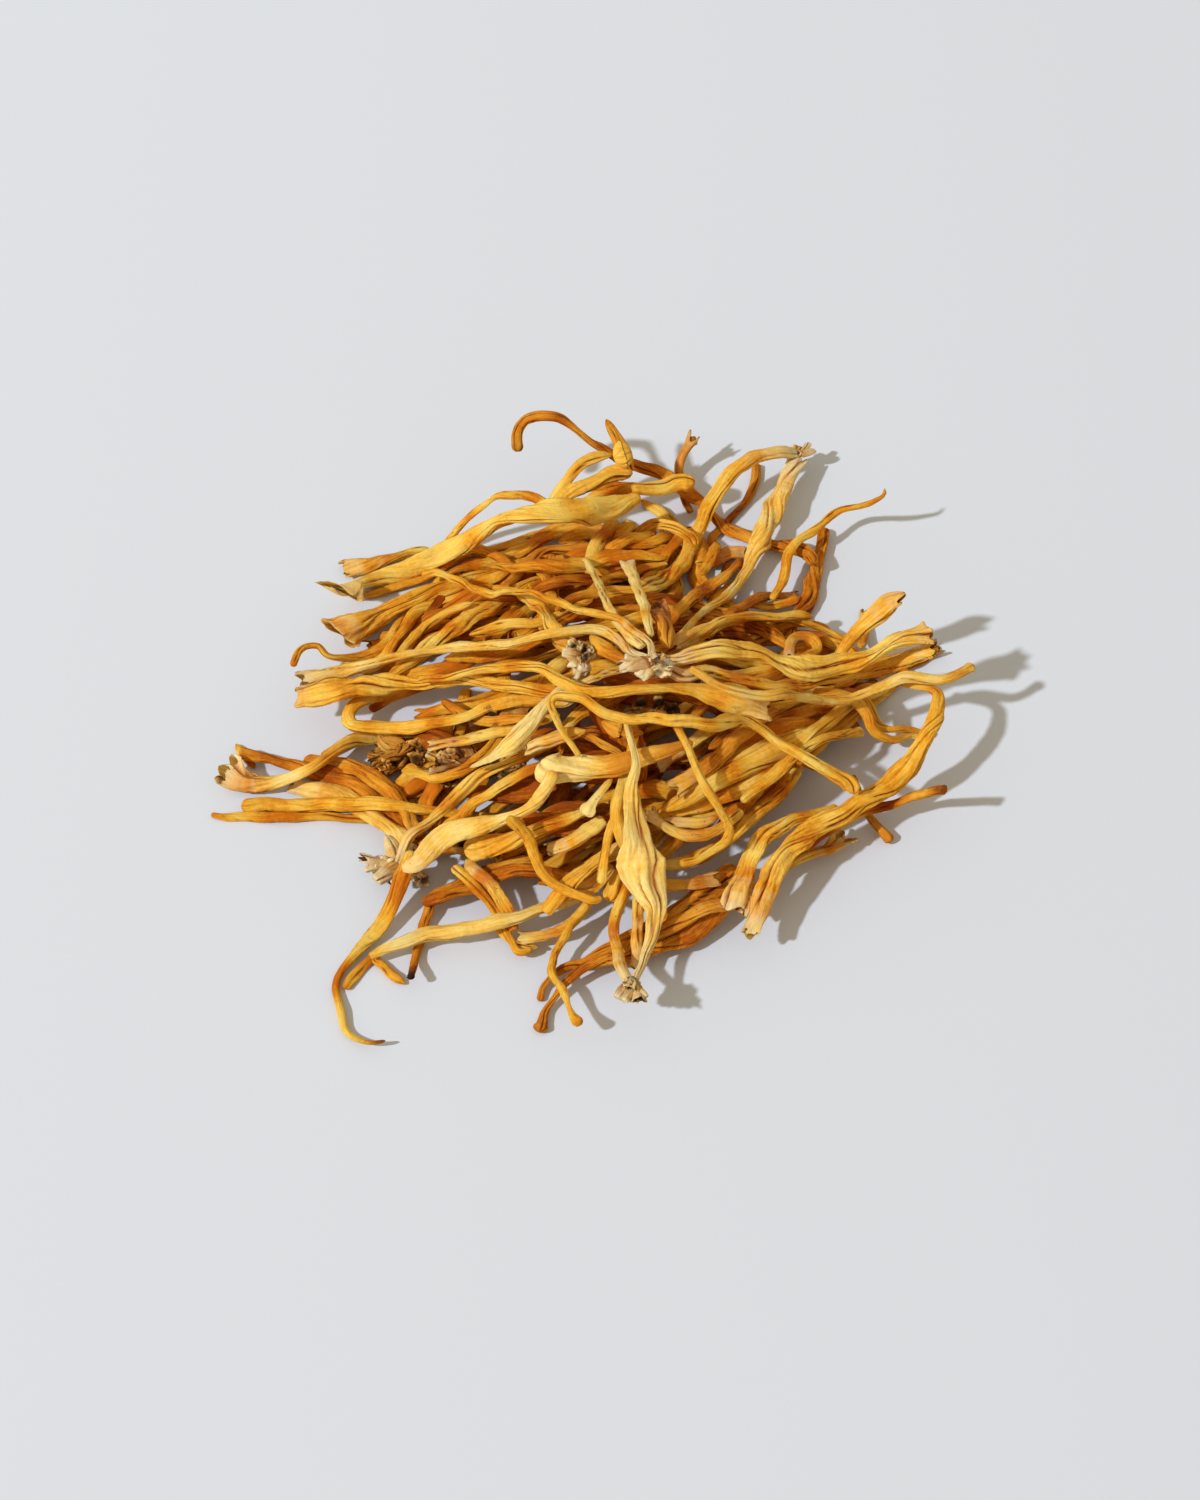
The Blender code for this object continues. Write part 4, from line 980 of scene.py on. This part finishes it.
def raggedMass(mass, facts, middle, grain, dice):
    # folds along the grain, deep cracks and hollows; the cracks and hollows are painted dark, as painted
    # shade
    mesh = mass.data
    spots, normals = readVectors(mesh, "co") / mm, readVectors(mesh, "normal")
    layFibres(mesh, spots, middle, grain)
    combed = spots - 0.68 * np.outer(spots @ grain, grain) + facts["seed"] * 3.7
    rough = np.array([noise.fractal(Vector(p * 0.8), 0.8, 2.1, 5) for p in combed])
    crags = np.array([abs(noise.noise(Vector(p * 1.15 + 7.3))) for p in combed])
    ridges = np.array([abs(noise.noise(Vector(p * 2.3 + 1.9))) for p in combed])
    shift = facts["ragged"] * rough - 0.7 * np.clip(1 - crags / 0.09, 0, 1) + 0.5 * (ridges - 0.2)
    crease_shade = np.clip(1 - crags * 8, 0, 1) + 0.7 * np.clip(1 - ridges * 9, 0, 1)
    scorch_and_hollow_shade = np.zeros(len(spots))
    upward = [k for k in range(len(spots)) if normals[k, 2] - 0.6 * normals[k, 1] > 0.5]
    for _ in range(facts["hollows"]):
        pick = dice.choice(upward)
        into, mouth = -normals[pick], spots[pick].copy()
        sideways = (spots - mouth) - np.outer((spots - mouth) @ into, into)
        narrow = sideways - 0.45 * np.outer(sideways @ grain, grain)
        size = dice.uniform(*facts["hollow"])
        pit = np.exp(-(np.linalg.norm(narrow, axis=1) / size) ** 4) * (np.abs((spots - mouth) @ into) < 1.8)
        spots += into * (pit * size * 1.2)[:, None]
        # painted shade: the pit is painted dark
        scorch_and_hollow_shade = np.maximum(scorch_and_hollow_shade, np.clip(pit * 1.4 - 0.3, 0, 1))
    spots += normals * shift[:, None]
    spots[:, 2] = np.maximum(spots[:, 2], 0.05)
    mesh.vertices.foreach_set("co", (spots * mm).ravel())
    writeMasks(mesh, {"crease_shade": np.clip(crease_shade, 0, 1), "root": np.clip(facts["root"] * (0.7 + rough), 0, 1),
                      "scorch_and_hollow_shade": scorch_and_hollow_shade * facts["dark"], "tone": 1.1 * rough - 0.2})
    bpy.ops.object.shade_smooth()
    mesh.materials.append(materials[facts["slot"]])


def tornBases(name, facts, middle, reach, dice):
    # the torn bases of lost stalks fan out on the open side
    stubs = []
    for k in range(facts["stubs"]):
        share = (k + 0.5) / facts["stubs"] * 2 - 1
        bearing = math.radians(facts["open"] + facts["fan"] * (share + dice.uniform(-0.15, 0.15)))
        out = np.array([math.cos(bearing), math.sin(bearing), dice.uniform(-0.3, 0.5)])
        half = dice.uniform(*facts["half"])
        bend = np.array([dice.uniform(-1, 1) for _ in range(3)]) * 0.5
        tip = middle + out * (reach + 0.4 * half) * dice.uniform(0.95, 1.2)
        rows = []
        for step in range(5):
            spot = tip + (middle - tip) * step / 4 + bend * math.sin(step * math.pi / 4)
            high = max(spot[2], half * 0.6)
            rows.append([spot[0], spot[1], high, half * (0.8 + 0.12 * step), half * 0.6])
        look = dict(plainLook, start=dice.choice(("cut", "cut", "point", "cup")), grooves=5, depth=0.34,
                    pale=facts["root"], kink=0.15, holeDark=facts["dark"], pinch=0.5, lumps=1.6,
                    startPale=2.5 * facts["root"], tone=dice.uniform(-0.8, 0.3))
        stubs.append(buildStalk("%s_stub_%d" % (name, k + 1), rows, look, facts["slot"], 1.0))
    return stubs


def makeFoot(name, facts, middle, reach):
    facts = dict(plainFoot, **facts)
    middle = np.array(middle) + facts["shift"]
    reach = np.array(reach) * facts["stretch"]
    dice = random.Random(facts["seed"])
    bearing = math.radians(facts["grain"])
    mass = lobeMass(name, facts, middle, reach, dice)
    raggedMass(mass, facts, middle, np.array([math.cos(bearing), math.sin(bearing), 0.0]), dice)
    return joinAll([mass] + tornBases(name, facts, middle, reach, dice))


print("making the feet and husks")
for name, facts in feet.items():
    low, high = (np.array(corner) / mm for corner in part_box(name))
    finishPiece(makeFoot(name, facts, (low + high) / 2, (high - low) / 2), "foot_grey", name)
for name, facts in husks.items():
    husk = makeFoot(name, dict(facts, slot="husk_brown"), facts["middle"], facts["reach"])
    finishPiece(husk, "foot_grey")

# ---------------------------------------------------------------- floor, light and camera
stage = {"floor": (0.665, 0.67, 0.695), "key": 3.25, "keyColour": (0.80, 0.88, 1.0), "keyAngle": 2.6,
         "keyFrom": (-0.94, -0.59, 1.0), "fill": 0.55, "fillColour": (1.0, 0.93, 0.76)}
bpy.ops.object.select_all(action="DESELECT")
bpy.ops.mesh.primitive_plane_add(size=6, location=(0, 0, 0))
floor = bpy.context.object
floor.name = "floor"
paper = bpy.data.materials.new("paperGround")
paper.use_nodes = True
paperShader = paper.node_tree.nodes["Principled BSDF"]
# painted shade: the floor is painted a little darker towards the right, where the brightness falls off
# across it
paperPlace = (paper.node_tree.nodes.new("ShaderNodeTexCoord"), "Object")
paperSplit = paper.node_tree.nodes.new("ShaderNodeSeparateXYZ")
link(paper.node_tree, paperPlace[0], "Object", paperSplit, "Vector")
paperFalloffShade = spread(paper.node_tree, (paperSplit, "X"), -0.12, 0.12)
paperColour = mixColours(paper.node_tree, paperFalloffShade, stage["floor"],
                         tuple(0.94 * channel for channel in stage["floor"]))
paper.node_tree.links.new(paperColour[0].outputs[2], paperShader.inputs["Base Color"])
paperShader.inputs["Roughness"].default_value = 0.9
floor.data.materials.append(paper)
floor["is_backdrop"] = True

keyData = bpy.data.lights.new("key", "SUN")
keyData.energy = stage["key"]
keyData.angle = math.radians(stage["keyAngle"])
keyData.color = stage["keyColour"]
key = bpy.data.objects.new("key", keyData)
bpy.context.collection.objects.link(key)
key.rotation_euler = Vector(stage["keyFrom"]).to_track_quat("Z", "Y").to_euler()
world = bpy.data.worlds.new("studio")
world.use_nodes = True
world.node_tree.nodes["Background"].inputs["Color"].default_value = (*stage["fillColour"], 1.0)
world.node_tree.nodes["Background"].inputs["Strength"].default_value = stage["fill"]
bpy.context.scene.world = world
bpy.context.scene.view_settings.view_transform = "Standard"

shot = {"lens": 85.0, "distance": 0.656, "elevation": 50.0, "aim": (0.0003, -0.01158, 0.010)}
cameraData = bpy.data.cameras.new("camera")
cameraData.lens = shot["lens"]
cameraData.sensor_width = 36.0
camera = bpy.data.objects.new("camera", cameraData)
bpy.context.collection.objects.link(camera)
rise = math.radians(shot["elevation"])
back = Vector((0, -math.cos(rise), math.sin(rise)))
camera.location = Vector(shot["aim"]) + back * shot["distance"]
camera.rotation_euler = back.to_track_quat("Z", "Y").to_euler()
bpy.context.scene.camera = camera

triangles = sum(len(p.vertices) - 2 for o in bpy.data.objects if o.type == "MESH" and o.name not in nodes
                for p in o.data.polygons)
print("triangles in the looks", triangles)
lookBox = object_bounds()
for label, box in (("cad box", cadBox), ("looks box", lookBox)):
    print(label, [[round(v, 4) for v in corner] for corner in box])
